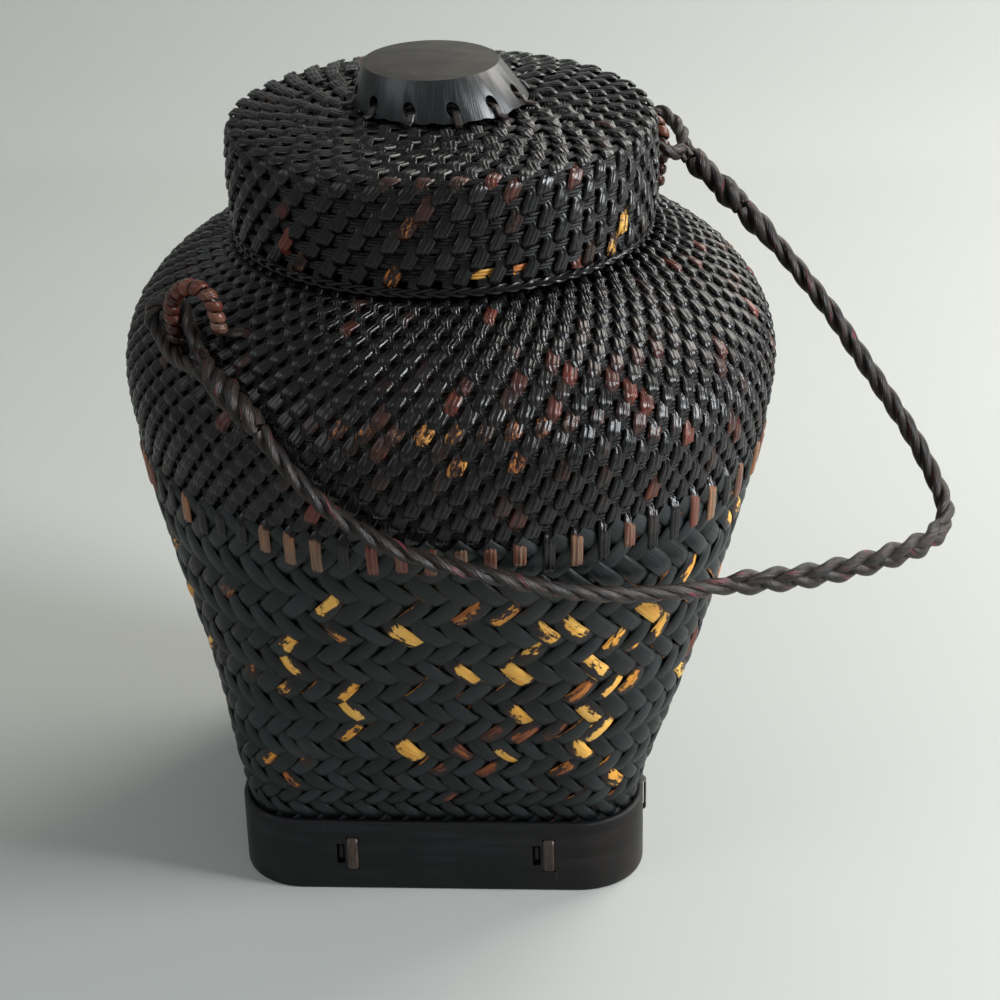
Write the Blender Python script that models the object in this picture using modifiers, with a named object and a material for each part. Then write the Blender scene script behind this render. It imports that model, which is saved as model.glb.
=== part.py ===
"""Lidded rice basket: a plaited square foot that opens into a round twined shoulder,
a round lid with a coconut shell knob, two cane wrapped ears and a carrying rope.

Units are metres, +Z is up, the origin is on the ground under the middle of the belly.
The front of the basket faces -Y.
"""
import math

import bmesh
import bpy
from mathutils import Matrix, Vector

# Clearance that neighbouring solids keep
GAP = 0.0003

# Foot band: one bamboo strip bent round a square, its ends lapped on the left side
FOOT_WIDTH = 0.1562
FOOT_HEIGHT = 0.031
FOOT_CORNER = 0.0250
FOOT_STRIP = 0.0028
FOOT_TIP = 0.0016
FOOT_LAP = 0.028
FOOT_LAP_START = -0.002
FOOT_SCARF = 0.014
FOOT_EDGE = 0.0006
FOOT_SHIFT = -0.0048

# Cane stitches that tie the band to the wall, with a slot beside each
STITCH_PLACES = (-0.0335, 0.0420)
STITCH_RAISE = 0.0007
STITCH_LENGTH = 0.0142
STITCH_WIDTH = 0.0042
STITCH_BEND = 0.0006
CANE_THICKNESS = 0.0010
SLOT_WIDTH = 0.0030
SLOT_LENGTH = 0.0088
SLOT_OFFSET = 0.0046

# Plaited body, from the floor inside the band up to the first twined course
FLOOR_HEIGHT = 0.006
FLOOR_THICKNESS = 0.003
FLOOR_EDGE = 0.004
BODY_WALL = 0.0035
COURSE_HEIGHT = 0.158
ROUND_HEIGHT = 0.176
FLARE = 0.27
FLARE_RUN = 0.095
BELLY_DROP = 0.030
LEAN_HEIGHT = 0.100

# Shoulder, and the collar that stands in its mouth as the neck
SHOULDER_RADIUS = 0.1224
SHOULDER_HEIGHT = 0.195
SHOULDER_RISE = 0.024
SHOULDER_DEPTH = 0.0503
SEAT_HEIGHT = SHOULDER_HEIGHT + SHOULDER_DEPTH
SEAT_LAND = 0.0065
SEAT_SLOPE = 25.0
SEAT_RUN = 0.026
NECK_RADIUS = 0.0735
NECK_WALL = 0.0030
NECK_HEIGHT = 0.0337
NECK_TOP = SEAT_HEIGHT + NECK_HEIGHT
NECK_TUCK = 0.0090
NECK_SHIFT = -0.0011
RIM_WIDTH = 0.0044
RIM_DEPTH = 0.0034

# Lid, a cap that slides down over the neck
LID_CLEARANCE = 0.0015
LID_WALL = 0.0034
LID_SEAT_GAP = 0.0004
LID_BORDER = 0.0030
LID_HEADROOM = 0.0066
LID_CROWN = 0.0034
LID_FALL = 0.0022
LID_EDGE = 0.0055
LID_BULGE = 0.0010

# Courses of the twined shoulder and lid: each stands proud of the grooves beside it
COURSE_PITCH = 0.0112
COURSE_GROOVE = 0.0009

# Coconut shell knob with its laced holes
KNOB_BASE_RADIUS = 0.0321
KNOB_TOP_RADIUS = 0.0247
KNOB_HEIGHT = 0.0142
KNOB_SHELL = 0.0026
KNOB_EDGE = 0.0009
LACE_HOLES = 12
LACE_HOLE_DIAMETER = 0.0051
LACE_HOLE_RISE = 0.0048
LACE_WIDTH = 0.0026
LACE_TUCK = 0.0016
LACE_TAIL = 0.0028

# Ears: bent cane staples through the shoulder, wrapped with split cane.
# Each has its two feet on the shoulder, its height and its outward tilt in degrees.
EARS = {
    "left": ((-0.0909, -0.0663), (-0.0738, -0.0758), 0.0232, 9.0),
    "right": ((0.0774, 0.0600), (0.0647, 0.0737), 0.0275, 11.0),
}
EAR_CORE = 0.0024
EAR_TAIL = 0.0070
WRAP_PITCH = 0.0044
WRAP_STEPS = 12
WRAP_THICKNESS = 0.0009
WRAP_OPEN = 0.0010

# Carrying rope, spliced back on itself at both ends
ROPE_DIAMETER = 0.0054
EYE_DIAMETER = 0.0040
ROPE_SPACING = 0.0130

# Route of the rope's free stretch, from the splice at the left ear to the one at the right
ROPE_ROUTE = (
    (-0.0571, -0.1104, 0.2116),
    (-0.0512, -0.1151, 0.2049),
    (-0.0432, -0.1196, 0.1967),
    (-0.0331, -0.1230, 0.1878),
    (-0.0214, -0.1252, 0.1804),
    (-0.0097, -0.1259, 0.1742),
    (0.0037, -0.1254, 0.1690),
    (0.0172, -0.1236, 0.1645),
    (0.0306, -0.1204, 0.1592),
    (0.0442, -0.1156, 0.1536),
    (0.0582, -0.1095, 0.1486),
    (0.0742, -0.1010, 0.1440),
    (0.0912, -0.0915, 0.1405),
    (0.1082, -0.0815, 0.1380),
    (0.1298, -0.0690, 0.1338),
    (0.1452, -0.0590, 0.1315),
    (0.1607, -0.0480, 0.1300),
    (0.1769, -0.0340, 0.1287),
    (0.1857, -0.0215, 0.1290),
    (0.1887, -0.0110, 0.1315),
    (0.1870, -0.0020, 0.1360),
    (0.1828, 0.0055, 0.1432),
    (0.1762, 0.0120, 0.1540),
    (0.1645, 0.0200, 0.1701),
    (0.1542, 0.0265, 0.1840),
    (0.1450, 0.0320, 0.1965),
    (0.1296, 0.0420, 0.2134),
    (0.1202, 0.0472, 0.2228),
    (0.1112, 0.0518, 0.2314),
)

# Thick spliced stretch at each end: route from the eye to the free rope, and the radii along it
SPLICES = {
    "left": (((-0.0790, -0.0868, 0.2246), (-0.0730, -0.0949, 0.2223),
              (-0.0668, -0.1025, 0.2192), (-0.0615, -0.1070, 0.2155),
              (-0.0576, -0.1100, 0.2121)),
             (0.0043, 0.0044, 0.0048, 0.0041, 0.0027)),
    "right": (((0.0914, 0.0608, 0.2490), (0.0970, 0.0584, 0.2440),
               (0.1030, 0.0558, 0.2388), (0.1076, 0.0536, 0.2348),
               (0.1109, 0.0520, 0.2317)),
              (0.0042, 0.0041, 0.0040, 0.0037, 0.0027)),
}

# Eye of the rope through each ear and round one of its legs, strand end to strand end
EYES = {
    "left": ((-0.0813, -0.0792, 0.2270), (-0.0836, -0.0747, 0.2303), (-0.0861, -0.0690, 0.2337),
             (-0.0888, -0.0632, 0.2370), (-0.0933, -0.0604, 0.2388), (-0.0978, -0.0596, 0.2382),
             (-0.1010, -0.0590, 0.2348), (-0.1016, -0.0578, 0.2300), (-0.0998, -0.0580, 0.2262),
             (-0.0968, -0.0632, 0.2244), (-0.0934, -0.0706, 0.2232), (-0.0884, -0.0776, 0.2226)),
    "right": ((0.0842, 0.0558, 0.2522), (0.0793, 0.0541, 0.2548), (0.0756, 0.0575, 0.2552),
              (0.0736, 0.0630, 0.2540), (0.0734, 0.0692, 0.2530), (0.0742, 0.0765, 0.2550),
              (0.0756, 0.0820, 0.2584), (0.0791, 0.0840, 0.2598), (0.0834, 0.0810, 0.2580),
              (0.0873, 0.0740, 0.2552)),
}

# Facets: sides of the body's rings, steps of a turned piece, stations along the foot band
SEGMENTS = 56
TURN_STEPS = 48
BAND_STATIONS = 80


def clear_scene():
    for obj in list(bpy.data.objects):
        bpy.data.objects.remove(obj, do_unlink=True)


def new_collection(name):
    collection = bpy.data.collections.new(name)
    bpy.context.scene.collection.children.link(collection)
    return collection


def material(name, colour, roughness, metallic=0.0):
    made = bpy.data.materials.new(name)
    made.use_nodes = True
    shader = made.node_tree.nodes["Principled BSDF"]
    shader.inputs["Base Color"].default_value = (*colour, 1.0)
    shader.inputs["Roughness"].default_value = roughness
    shader.inputs["Metallic"].default_value = metallic
    return made


def bezier(p0, p1, p2, p3, count):
    """Points at even steps along a cubic curve, both ends included."""
    points = []
    for i in range(count + 1):
        t = i / count
        s = 1.0 - t
        points.append(tuple(s ** 3 * a + 3 * s * s * t * b + 3 * s * t * t * c + t ** 3 * d
                            for a, b, c, d in zip(p0, p1, p2, p3)))
    return points


def arc(centre, radius, start, end, count):
    """Points on an arc in a profile's plane, angles in degrees."""
    points = []
    for i in range(count + 1):
        angle = math.radians(start + (end - start) * i / count)
        points.append((centre[0] + radius * math.cos(angle), centre[1] + radius * math.sin(angle)))
    return points


def smooth_step(value):
    value = min(max(value, 0.0), 1.0)
    return value * value * (3.0 - 2.0 * value)


def crossing(points, height):
    """Width of a rising profile at a height."""
    for (a0, z0), (a1, z1) in zip(points, points[1:]):
        if z0 <= height <= z1:
            return a0 + (a1 - a0) * (height - z0) / (z1 - z0)
    return points[-1][0] if height > points[-1][1] else points[0][0]


def height_at(points, width):
    """Height of a profile that rises while it narrows, at a width."""
    for (a0, z0), (a1, z1) in zip(points, points[1:]):
        if a1 <= width <= a0:
            return z0 + (z1 - z0) * (a0 - width) / (a0 - a1)
    return points[-1][1]


def inset(profile, distance):
    """The profile moved square to itself, toward the basket's inside."""
    moved = []
    for i, (a, z) in enumerate(profile):
        a0, z0 = profile[max(i - 1, 0)]
        a1, z1 = profile[min(i + 1, len(profile) - 1)]
        length = math.hypot(a1 - a0, z1 - z0)
        moved.append((a - distance * (z1 - z0) / length, z + distance * (a1 - a0) / length))
    return moved


# Body surface

WALL_FOOT = FOOT_WIDTH / 2 - FOOT_STRIP - GAP


def flare_profile(count=10):
    """Half width against height, from the top of the band up to the widest ring."""
    foot = (WALL_FOOT, FOOT_HEIGHT)
    widest = (SHOULDER_RADIUS, SHOULDER_HEIGHT)
    return bezier(foot, (foot[0] + FLARE * FLARE_RUN, foot[1] + FLARE_RUN),
                  (widest[0], widest[1] - BELLY_DROP), widest, count)


def shoulder_profile(count=8):
    """Radius against height, from the widest ring in to the seat of the lid."""
    widest = (SHOULDER_RADIUS, SHOULDER_HEIGHT)
    seat = (NECK_RADIUS + SEAT_LAND, SEAT_HEIGHT)
    slope = math.radians(SEAT_SLOPE)
    return bezier(widest, (widest[0], widest[1] + SHOULDER_RISE),
                  (seat[0] + SEAT_RUN * math.cos(slope), seat[1] - SEAT_RUN * math.sin(slope)),
                  seat, count)


def lean(height):
    """Sideways place of the wall's middle, which strays a little below and above the belly."""
    if height <= SHOULDER_HEIGHT:
        rise = smooth_step((height - FOOT_HEIGHT) / (LEAN_HEIGHT - FOOT_HEIGHT))
        return FOOT_SHIFT * (1.0 - rise)
    return NECK_SHIFT * smooth_step((height - SHOULDER_HEIGHT) / (SEAT_HEIGHT - SHOULDER_HEIGHT))


def corner_share(height):
    """Corner radius as a share of the half width: square at the foot, round at the shoulder."""
    square = (FOOT_CORNER - FOOT_STRIP - GAP) / WALL_FOOT
    rise = (height - FOOT_HEIGHT) / (ROUND_HEIGHT - FOOT_HEIGHT)
    return square + (1.0 - square) * min(max(rise, 0.0), 1.0)


def outline(half, corner, count=SEGMENTS):
    """Points and outward normals round a rounded square, from the middle of its -Y side."""
    flat = half - corner
    bend = corner * math.pi / 2
    side = 2 * flat + bend
    result = []
    for i in range(count):
        turn, along = divmod(4 * side * i / count, side)
        if along < flat:
            point, normal = Vector((along, -half)), Vector((0.0, -1.0))
        elif along < flat + bend:
            angle = (along - flat) / corner
            normal = Vector((math.sin(angle), -math.cos(angle)))
            point = Vector((flat, -flat)) + corner * normal
        else:
            point, normal = Vector((half, along - 2 * flat - bend)), Vector((1.0, 0.0))
        quarter = Matrix.Rotation(turn * math.pi / 2, 2)
        result.append((quarter @ point, quarter @ normal))
    return result


def body_ring(half, height, depth=0.0):
    """One ring of the woven wall, at a depth under its outer face."""
    corner = (half + depth) * corner_share(height) - depth
    shift = lean(height)
    return [Vector((p.x + shift, p.y, height)) for p, _ in outline(half, corner)]


# Solids

def add_mesh(name, bm, finish, collection, smooth_angle=40.0):
    bmesh.ops.recalc_face_normals(bm, faces=bm.faces)
    mesh = bpy.data.meshes.new(name)
    bm.to_mesh(mesh)
    bm.free()
    mesh.shade_smooth()
    mesh.set_sharp_from_angle(angle=math.radians(smooth_angle))
    obj = bpy.data.objects.new(name, mesh)
    mesh.materials.append(finish)
    collection.objects.link(obj)
    return obj


def skin(bm, rings, closed):
    """Quads between rings of equal count; open ends are capped."""
    loops = [[bm.verts.new(p) for p in ring] for ring in rings]
    pairs = list(zip(loops, loops[1:]))
    if closed:
        pairs.append((loops[-1], loops[0]))
    for lower, upper in pairs:
        count = len(lower)
        for i in range(count):
            j = (i + 1) % count
            bm.faces.new((lower[i], lower[j], upper[j], upper[i]))
    if not closed:
        bm.faces.new(loops[0])
        bm.faces.new(loops[-1])


def loft(name, rings, closed, finish, collection):
    bm = bmesh.new()
    skin(bm, rings, closed)
    return add_mesh(name, bm, finish, collection)


def turned(name, profile, centre_x, finish, collection, closed=False):
    """A profile in radius and height, turned about the vertical axis through centre_x."""
    mesh = bpy.data.meshes.new(name)
    edges = [(i, i + 1) for i in range(len(profile) - 1)]
    if closed:
        edges.append((len(profile) - 1, 0))
    mesh.from_pydata([(r, 0.0, z) for r, z in profile], edges, [])
    mesh.materials.append(finish)
    obj = bpy.data.objects.new(name, mesh)
    obj.location.x = centre_x
    collection.objects.link(obj)
    screw = obj.modifiers.new("Turn", "SCREW")
    screw.steps = TURN_STEPS
    screw.render_steps = TURN_STEPS
    screw.use_merge_vertices = True
    screw.merge_threshold = 0.00001
    screw.use_normal_calculate = True
    return obj


def cut(obj, cutter):
    cutter.display_type = "WIRE"
    cutter.hide_render = True
    boolean = obj.modifiers.new("Cut " + cutter.name, "BOOLEAN")
    boolean.operation = "DIFFERENCE"
    boolean.solver = "EXACT"
    boolean.object = cutter


def tube(name, points, diameter, finish, collection, resolution=2):
    """A round bar along points, with filled ends."""
    curve = bpy.data.curves.new(name, "CURVE")
    curve.dimensions = "3D"
    curve.bevel_depth = diameter / 2
    curve.bevel_resolution = resolution
    curve.use_fill_caps = True
    spline = curve.splines.new("POLY")
    spline.points.add(len(points) - 1)
    for target, point in zip(spline.points, points):
        target.co = (*point, 1.0)
    curve.materials.append(finish)
    obj = bpy.data.objects.new(name, curve)
    collection.objects.link(obj)
    return obj


# Section of a flat split strip in shares of its width and thickness: thin edges, flat faces
STRIP_SECTION = ((0.5, 0.0), (0.36, 0.5), (-0.36, 0.5), (-0.5, 0.0), (-0.36, -0.5), (0.36, -0.5))


def strip_rings(path, normals, widths, thickness):
    """Sections of a flat cane strip along a path, its broad face square to the normals."""
    rings = []
    for i, (point, normal, width) in enumerate(zip(path, normals, widths)):
        ahead = path[min(i + 1, len(path) - 1)] - path[max(i - 1, 0)]
        side = ahead.normalized().cross(normal).normalized()
        up = side.cross(ahead).normalized()
        rings.append([point + side * (width * x) + up * (thickness * y) for x, y in STRIP_SECTION])
    return rings


def smooth_route(route, spacing):
    """Points at about even spacing on a smooth curve through the route's own points."""
    knots = [Vector(p) for p in route]
    knots = [2 * knots[0] - knots[1]] + knots + [2 * knots[-1] - knots[-2]]
    fine = []
    for a, b, c, d in zip(knots, knots[1:], knots[2:], knots[3:]):
        for i in range(12):
            t = i / 12
            fine.append(0.5 * (2 * b + (c - a) * t + (2 * a - 5 * b + 4 * c - d) * t ** 2
                               + (3 * b - a - 3 * c + d) * t ** 3))
    fine.append(knots[-2])
    length = sum((q - p).length for p, q in zip(fine, fine[1:]))
    count = max(2, round(length / spacing))
    points, run, wanted = [fine[0]], 0.0, length / count
    for p, q in zip(fine, fine[1:]):
        step = (q - p).length
        while run + step >= wanted and len(points) < count:
            points.append(p.lerp(q, (wanted - run) / step))
            wanted += length / count
        run += step
    points.append(fine[-1])
    return points, length


def along_line(points, length):
    """Point and direction at a length along a line of points."""
    for p, q in zip(points, points[1:]):
        step = (q - p).length
        if length <= step:
            break
        length -= step
    return p + (q - p).normalized() * length, (q - p).normalized()


# Foot

def band_station(along, perimeter):
    """Outer offset and thickness of the band's strip at a length along it."""
    taper_in = smooth_step(along / FOOT_SCARF)
    taper_out = smooth_step((perimeter + FOOT_LAP - along) / FOOT_SCARF)
    thickness = FOOT_TIP + (FOOT_STRIP - FOOT_TIP) * min(taper_in, taper_out)
    climb = smooth_step((along - perimeter + FOOT_SCARF) / FOOT_SCARF)
    return climb * (GAP + thickness), thickness


def foot_band(finish, collection):
    """The bent strip, wound once round and lapped over its own start on the left side."""
    half = FOOT_WIDTH / 2
    side = 2 * (half - FOOT_CORNER) + FOOT_CORNER * math.pi / 2
    perimeter = 4 * side
    fine = outline(half, FOOT_CORNER, 512)
    start = 3 * side - FOOT_LAP_START
    total = perimeter + FOOT_LAP
    rings = []
    for i in range(BAND_STATIONS + 1):
        along = total * i / BAND_STATIONS
        place = ((start + along) / perimeter) % 1.0 * len(fine)
        k, share = int(place), place % 1.0
        p0, n0 = fine[k % len(fine)]
        p1, n1 = fine[(k + 1) % len(fine)]
        point, normal = p0.lerp(p1, share), n0.lerp(n1, share).normalized()
        offset, thickness = band_station(along, perimeter)
        point.x += FOOT_SHIFT
        outer, inner = point + normal * offset, point + normal * (offset - thickness)
        rings.append([Vector((*outer, 0.0)), Vector((*outer, FOOT_HEIGHT)),
                      Vector((*inner, FOOT_HEIGHT)), Vector((*inner, 0.0))])
    band = loft("foot_band", rings, False, finish, collection)
    bevel = band.modifiers.new("Worn edges", "BEVEL")
    bevel.width = FOOT_EDGE
    bevel.segments = 1
    bevel.limit_method = "ANGLE"
    bevel.angle_limit = math.radians(60)
    return band


def stitch_spots():
    """Middle of each stitch on the band's face, with its sideways and outward directions."""
    half = FOOT_WIDTH / 2
    spots = []
    for turn in range(4):
        quarter = Matrix.Rotation(turn * math.pi / 2, 4, "Z")
        for place in STITCH_PLACES:
            middle = quarter @ Vector((place, -half, FOOT_HEIGHT / 2 + STITCH_RAISE))
            middle.x += FOOT_SHIFT
            spots.append((middle, quarter @ Vector((1, 0, 0)), quarter @ Vector((0, -1, 0))))
    return spots


def box_at(bm, middle, side, outward, width, depth, height):
    """A box with its faces along the side, outward and up directions."""
    frame = Matrix((side, outward, Vector((0, 0, 1)))).transposed().to_4x4()
    frame.translation = middle
    size = Matrix.Diagonal((width, depth, height, 1.0))
    bmesh.ops.create_cube(bm, size=1.0, matrix=frame @ size)


def stitch_cutter(collection):
    """Slots and leg holes that every stitch has through the band."""
    bm = bmesh.new()
    depth = 3 * FOOT_STRIP
    leg = CANE_THICKNESS + 2 * GAP
    for middle, side, outward in stitch_spots():
        box_at(bm, middle - side * SLOT_OFFSET, side, outward, SLOT_WIDTH, depth, SLOT_LENGTH)
        for end in (-1, 1):
            hole = middle + Vector((0, 0, end * (STITCH_LENGTH - CANE_THICKNESS) / 2))
            box_at(bm, hole, side, outward, STITCH_WIDTH + 2 * GAP, depth, leg)
    return add_mesh("stitch_cutter", bm, None, collection)


def stitch_path(middle, outward):
    """Staple's line and the way its broad face looks: in through the band, down its face, back in."""
    up = Vector((0, 0, 1))
    rise = (STITCH_LENGTH - CANE_THICKNESS) / 2
    reach = outward * (GAP - FOOT_STRIP)
    face = outward * (GAP + CANE_THICKNESS / 2)
    path, normals = [], []
    for end in (1, -1):
        leg = middle + up * (end * rise)
        corner = middle + up * (end * (rise - STITCH_BEND)) + face
        points = [leg + reach, leg + face - outward * STITCH_BEND, corner]
        looks = [up * end, (outward + up * end).normalized(), outward]
        path += points if end > 0 else points[::-1]
        normals += looks if end > 0 else looks[::-1]
    return path, normals


def foot_stitches(finish, collection):
    """Flat cane staples, each on the band's face with both ends turned in through it."""
    for number, (middle, side, outward) in enumerate(stitch_spots(), 1):
        path, normals = stitch_path(middle, outward)
        rings = strip_rings(path, normals, [STITCH_WIDTH] * len(path), CANE_THICKNESS)
        loft("foot_stitch_%d" % number, rings, False, finish, collection)


# Woven body

def plaited_body(finish, collection):
    """Cup of plaited strips, with its floor inside the band and its mouth at the first course."""
    flare = [p for p in flare_profile() if p[1] < COURSE_HEIGHT - BODY_WALL]
    outer = arc((WALL_FOOT - FLOOR_EDGE, FLOOR_HEIGHT + FLOOR_EDGE), FLOOR_EDGE, -90, 0, 3)
    outer += flare
    outer.append((crossing(flare_profile(), COURSE_HEIGHT), COURSE_HEIGHT))
    inner = inset(outer, BODY_WALL)
    inner[0] = (outer[0][0], FLOOR_HEIGHT + FLOOR_THICKNESS)
    inner[-1] = (outer[-1][0] - BODY_WALL, COURSE_HEIGHT)
    rings = [body_ring(a, z) for a, z in outer]
    rings += [body_ring(a, z, BODY_WALL) for a, z in reversed(inner)]
    return loft("plaited_body", rings, False, finish, collection)


def with_courses(profile):
    """A rising profile taken at half pitches, sunk at every second point between two courses."""
    line = [Vector(p) for p in profile]
    total = sum((q - p).length for p, q in zip(line, line[1:]))
    count = 2 * round(total / COURSE_PITCH)
    crests = [tuple(along_line(line, total * i / count)[0]) for i in range(count + 1)]
    grooves = inset(crests, COURSE_GROOVE)
    return [grooves[i] if i % 2 else crests[i] for i in range(count + 1)]


def twined_profile(detail=1):
    """Face of the twined wall without its courses, from the first one in to the lid's seat."""
    lower = [p for p in flare_profile(10 * detail) if p[1] > COURSE_HEIGHT + BODY_WALL]
    start = (crossing(flare_profile(), COURSE_HEIGHT), COURSE_HEIGHT + GAP)
    return [start] + lower + shoulder_profile(8 * detail)[1:]


def twined_shoulder(finish, collection):
    """The twined wall and the shoulder, whose inner edge closes on the neck."""
    face = twined_profile()
    mouth = (NECK_RADIUS + GAP, SEAT_HEIGHT + GAP)
    inner = inset(face + [mouth], BODY_WALL)
    inner[0] = (face[0][0] - BODY_WALL, face[0][1])
    inner = [p for p in inner[:-1] if p[0] > mouth[0] + BODY_WALL]
    inner.append((mouth[0], mouth[1] - BODY_WALL))
    rings = [body_ring(a, z) for a, z in with_courses(twined_profile(4)) + [mouth]]
    rings += [body_ring(a, z, BODY_WALL) for a, z in reversed(inner)]
    return loft("twined_shoulder", rings, True, finish, collection)


def neck_collar(finish, collection):
    """Ring of bent bamboo stitched into the shoulder's mouth, which the lid slides over."""
    inner, foot = NECK_RADIUS - NECK_WALL, SEAT_HEIGHT - NECK_TUCK
    corners = ((NECK_RADIUS, foot), (NECK_RADIUS, NECK_TOP), (inner, NECK_TOP), (inner, foot))
    rings = [[Vector((r * math.cos(a) + NECK_SHIFT, r * math.sin(a), z))
              for a in (2 * math.pi * i / TURN_STEPS for i in range(TURN_STEPS))]
             for r, z in corners]
    return loft("neck_collar", rings, True, finish, collection)


def rounded_section(middle, width, depth, squareness=0.7, count=6):
    """A rounded strip's section, from a squared circle."""
    points = []
    for i in range(count):
        angle = 2 * math.pi * i / count
        c, s = math.cos(angle), math.sin(angle)
        points.append((middle[0] + width / 2 * math.copysign(abs(c) ** squareness, c),
                       middle[1] - depth / 2 * math.copysign(abs(s) ** squareness, s)))
    return points


def neck_rim(finish, collection):
    """Cane hoop that finishes the top of the neck."""
    middle = (NECK_RADIUS - NECK_WALL / 2 - (RIM_WIDTH - NECK_WALL) / 2 + GAP,
              NECK_TOP + GAP + RIM_DEPTH / 2)
    return turned("neck_rim", rounded_section(middle, RIM_WIDTH, RIM_DEPTH), NECK_SHIFT,
                  finish, collection, closed=True)


# Lid

LID_MOUTH = NECK_RADIUS + LID_CLEARANCE + LID_WALL
LID_REST = SEAT_HEIGHT + LID_SEAT_GAP
LID_TOP = NECK_TOP + GAP + RIM_DEPTH + LID_HEADROOM + LID_WALL


def lid_cap(finish, collection, parent):
    """Woven cap: flat seat under the knob, falling crown, rounded edge, slightly bulging side."""
    foot = LID_REST + LID_BORDER + GAP
    shoulder = LID_TOP - LID_CROWN
    seat = KNOB_BASE_RADIUS + LACE_TAIL
    side = LID_MOUTH + LID_BULGE / 2
    corner = (side - LID_EDGE, shoulder - LID_EDGE)
    crown = (corner[0] - seat) / 3
    rise = (corner[1] - foot) / 3
    outer = with_courses(bezier((LID_MOUTH, foot), (LID_MOUTH + LID_BULGE, foot + rise),
                                (side + LID_BULGE, corner[1] - rise), (side, corner[1]), 12))
    outer += arc(corner, LID_EDGE, 0, 90, 4)[1:-1]
    outer += with_courses(bezier((corner[0], shoulder), (corner[0] - crown, shoulder + LID_FALL),
                                 (seat + crown, LID_TOP), (seat, LID_TOP), 12))
    outer.append((0.0, LID_TOP))
    outer.reverse()
    inner_side = LID_MOUTH - LID_WALL
    inner_edge = LID_EDGE - LID_WALL + 3 * GAP
    roof = LID_TOP - LID_WALL
    under = shoulder - LID_WALL + GAP
    inner = [(inner_side, foot), (inner_side, under - inner_edge)]
    inner += arc((inner_side - inner_edge, under - inner_edge), inner_edge, 0, 90, 3)[1:]
    inner += [(seat + crown, roof), (0.0, roof)]
    cap = turned("lid_cap", outer + inner, 0.0, finish, collection)
    cap.parent = parent
    return cap


def lid_border(finish, collection, parent):
    """Twined border that closes the lid's lower edge and rests on the shoulder."""
    middle = (LID_MOUTH - LID_WALL / 2, LID_REST + LID_BORDER / 2)
    border = turned("lid_border", rounded_section(middle, LID_WALL, LID_BORDER), 0.0,
                    finish, collection, closed=True)
    border.parent = parent
    return border


# Knob

KNOB_BASE = LID_TOP + GAP
KNOB_SLANT = math.atan2(KNOB_BASE_RADIUS - KNOB_TOP_RADIUS, KNOB_HEIGHT)


def knob_radius(rise):
    """Outer radius of the shell at a height above its lip."""
    return KNOB_BASE_RADIUS - (KNOB_BASE_RADIUS - KNOB_TOP_RADIUS) * rise / KNOB_HEIGHT


def lace_cutter(collection, parent):
    """Round holes drilled square to the shell, evenly spaced just above its lip."""
    bm = bmesh.new()
    for i in range(LACE_HOLES):
        spin = Matrix.Rotation(2 * math.pi * (i + 0.5) / LACE_HOLES, 4, "Z")
        place = Matrix.Translation((knob_radius(LACE_HOLE_RISE), 0, KNOB_BASE + LACE_HOLE_RISE))
        lay = Matrix.Rotation(math.pi / 2 - KNOB_SLANT, 4, "Y")
        bmesh.ops.create_cone(bm, cap_ends=True, segments=12, radius1=LACE_HOLE_DIAMETER / 2,
                              radius2=LACE_HOLE_DIAMETER / 2, depth=4 * KNOB_SHELL,
                              matrix=spin @ place @ lay)
    cutter = add_mesh("lace_cutter", bm, None, collection)
    cutter.parent = parent
    return cutter


def coconut_knob(finish, collection, parent):
    """Cut coconut shell, open side down, its top sawn flat."""
    top = KNOB_BASE + KNOB_HEIGHT
    slant = KNOB_SHELL / math.cos(KNOB_SLANT)
    outer = [(0.0, top), (KNOB_TOP_RADIUS - KNOB_EDGE, top)]
    outer += [(KNOB_TOP_RADIUS, top - KNOB_EDGE * 0.8), (KNOB_BASE_RADIUS, KNOB_BASE)]
    inner = [(KNOB_BASE_RADIUS - slant, KNOB_BASE),
             (knob_radius(KNOB_HEIGHT - KNOB_SHELL) - slant, top - KNOB_SHELL - KNOB_EDGE),
             (knob_radius(KNOB_HEIGHT - KNOB_SHELL) - slant - KNOB_EDGE, top - KNOB_SHELL),
             (0.0, top - KNOB_SHELL)]
    knob = turned("coconut_knob", outer + inner, 0.0, finish, collection)
    knob.parent = parent
    return knob


def knob_laces(finish, collection, parent):
    """Cane laces, each out of a hole, over the shell's lip and down to the weave."""
    half = CANE_THICKNESS / 2
    out = GAP + half
    sill = LACE_HOLE_RISE - LACE_HOLE_DIAMETER / 2 * math.cos(KNOB_SLANT)
    over = sill + half + 2 * GAP
    lip = KNOB_BASE_RADIUS + out
    steps = ((knob_radius(over) - KNOB_SHELL - LACE_TUCK, over + GAP, 0.0, 1.0),
             (knob_radius(over) - GAP, over, 0.2, 1.0),
             (knob_radius(over) + out, over - GAP, 1.0, 0.8),
             (knob_radius(sill / 2) + out + GAP, sill / 2, 1.0, 0.1),
             (lip + GAP, out + GAP, 1.0, 0.6),
             (lip + LACE_TAIL, out, 0.1, 1.0))
    for number in range(LACE_HOLES):
        spin = Matrix.Rotation(2 * math.pi * (number + 0.5) / LACE_HOLES, 4, "Z")
        path = [spin @ Vector((r, 0, KNOB_BASE + rise)) for r, rise, _, _ in steps]
        normals = [(spin @ Vector((a, 0, b))).normalized() for _, _, a, b in steps]
        rings = strip_rings(path, normals, [LACE_WIDTH] * len(path), CANE_THICKNESS)
        lace = loft("knob_lace_%d" % (number + 1), rings, False, finish, collection)
        lace.parent = parent


# Ears

def shoulder_foot(x, y):
    """Point on the shoulder's outer face above x, y."""
    height = SEAT_HEIGHT
    for _ in range(4):
        height = height_at(shoulder_profile(64), math.hypot(x - lean(height), y))
    return Vector((x, y, height))


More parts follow.
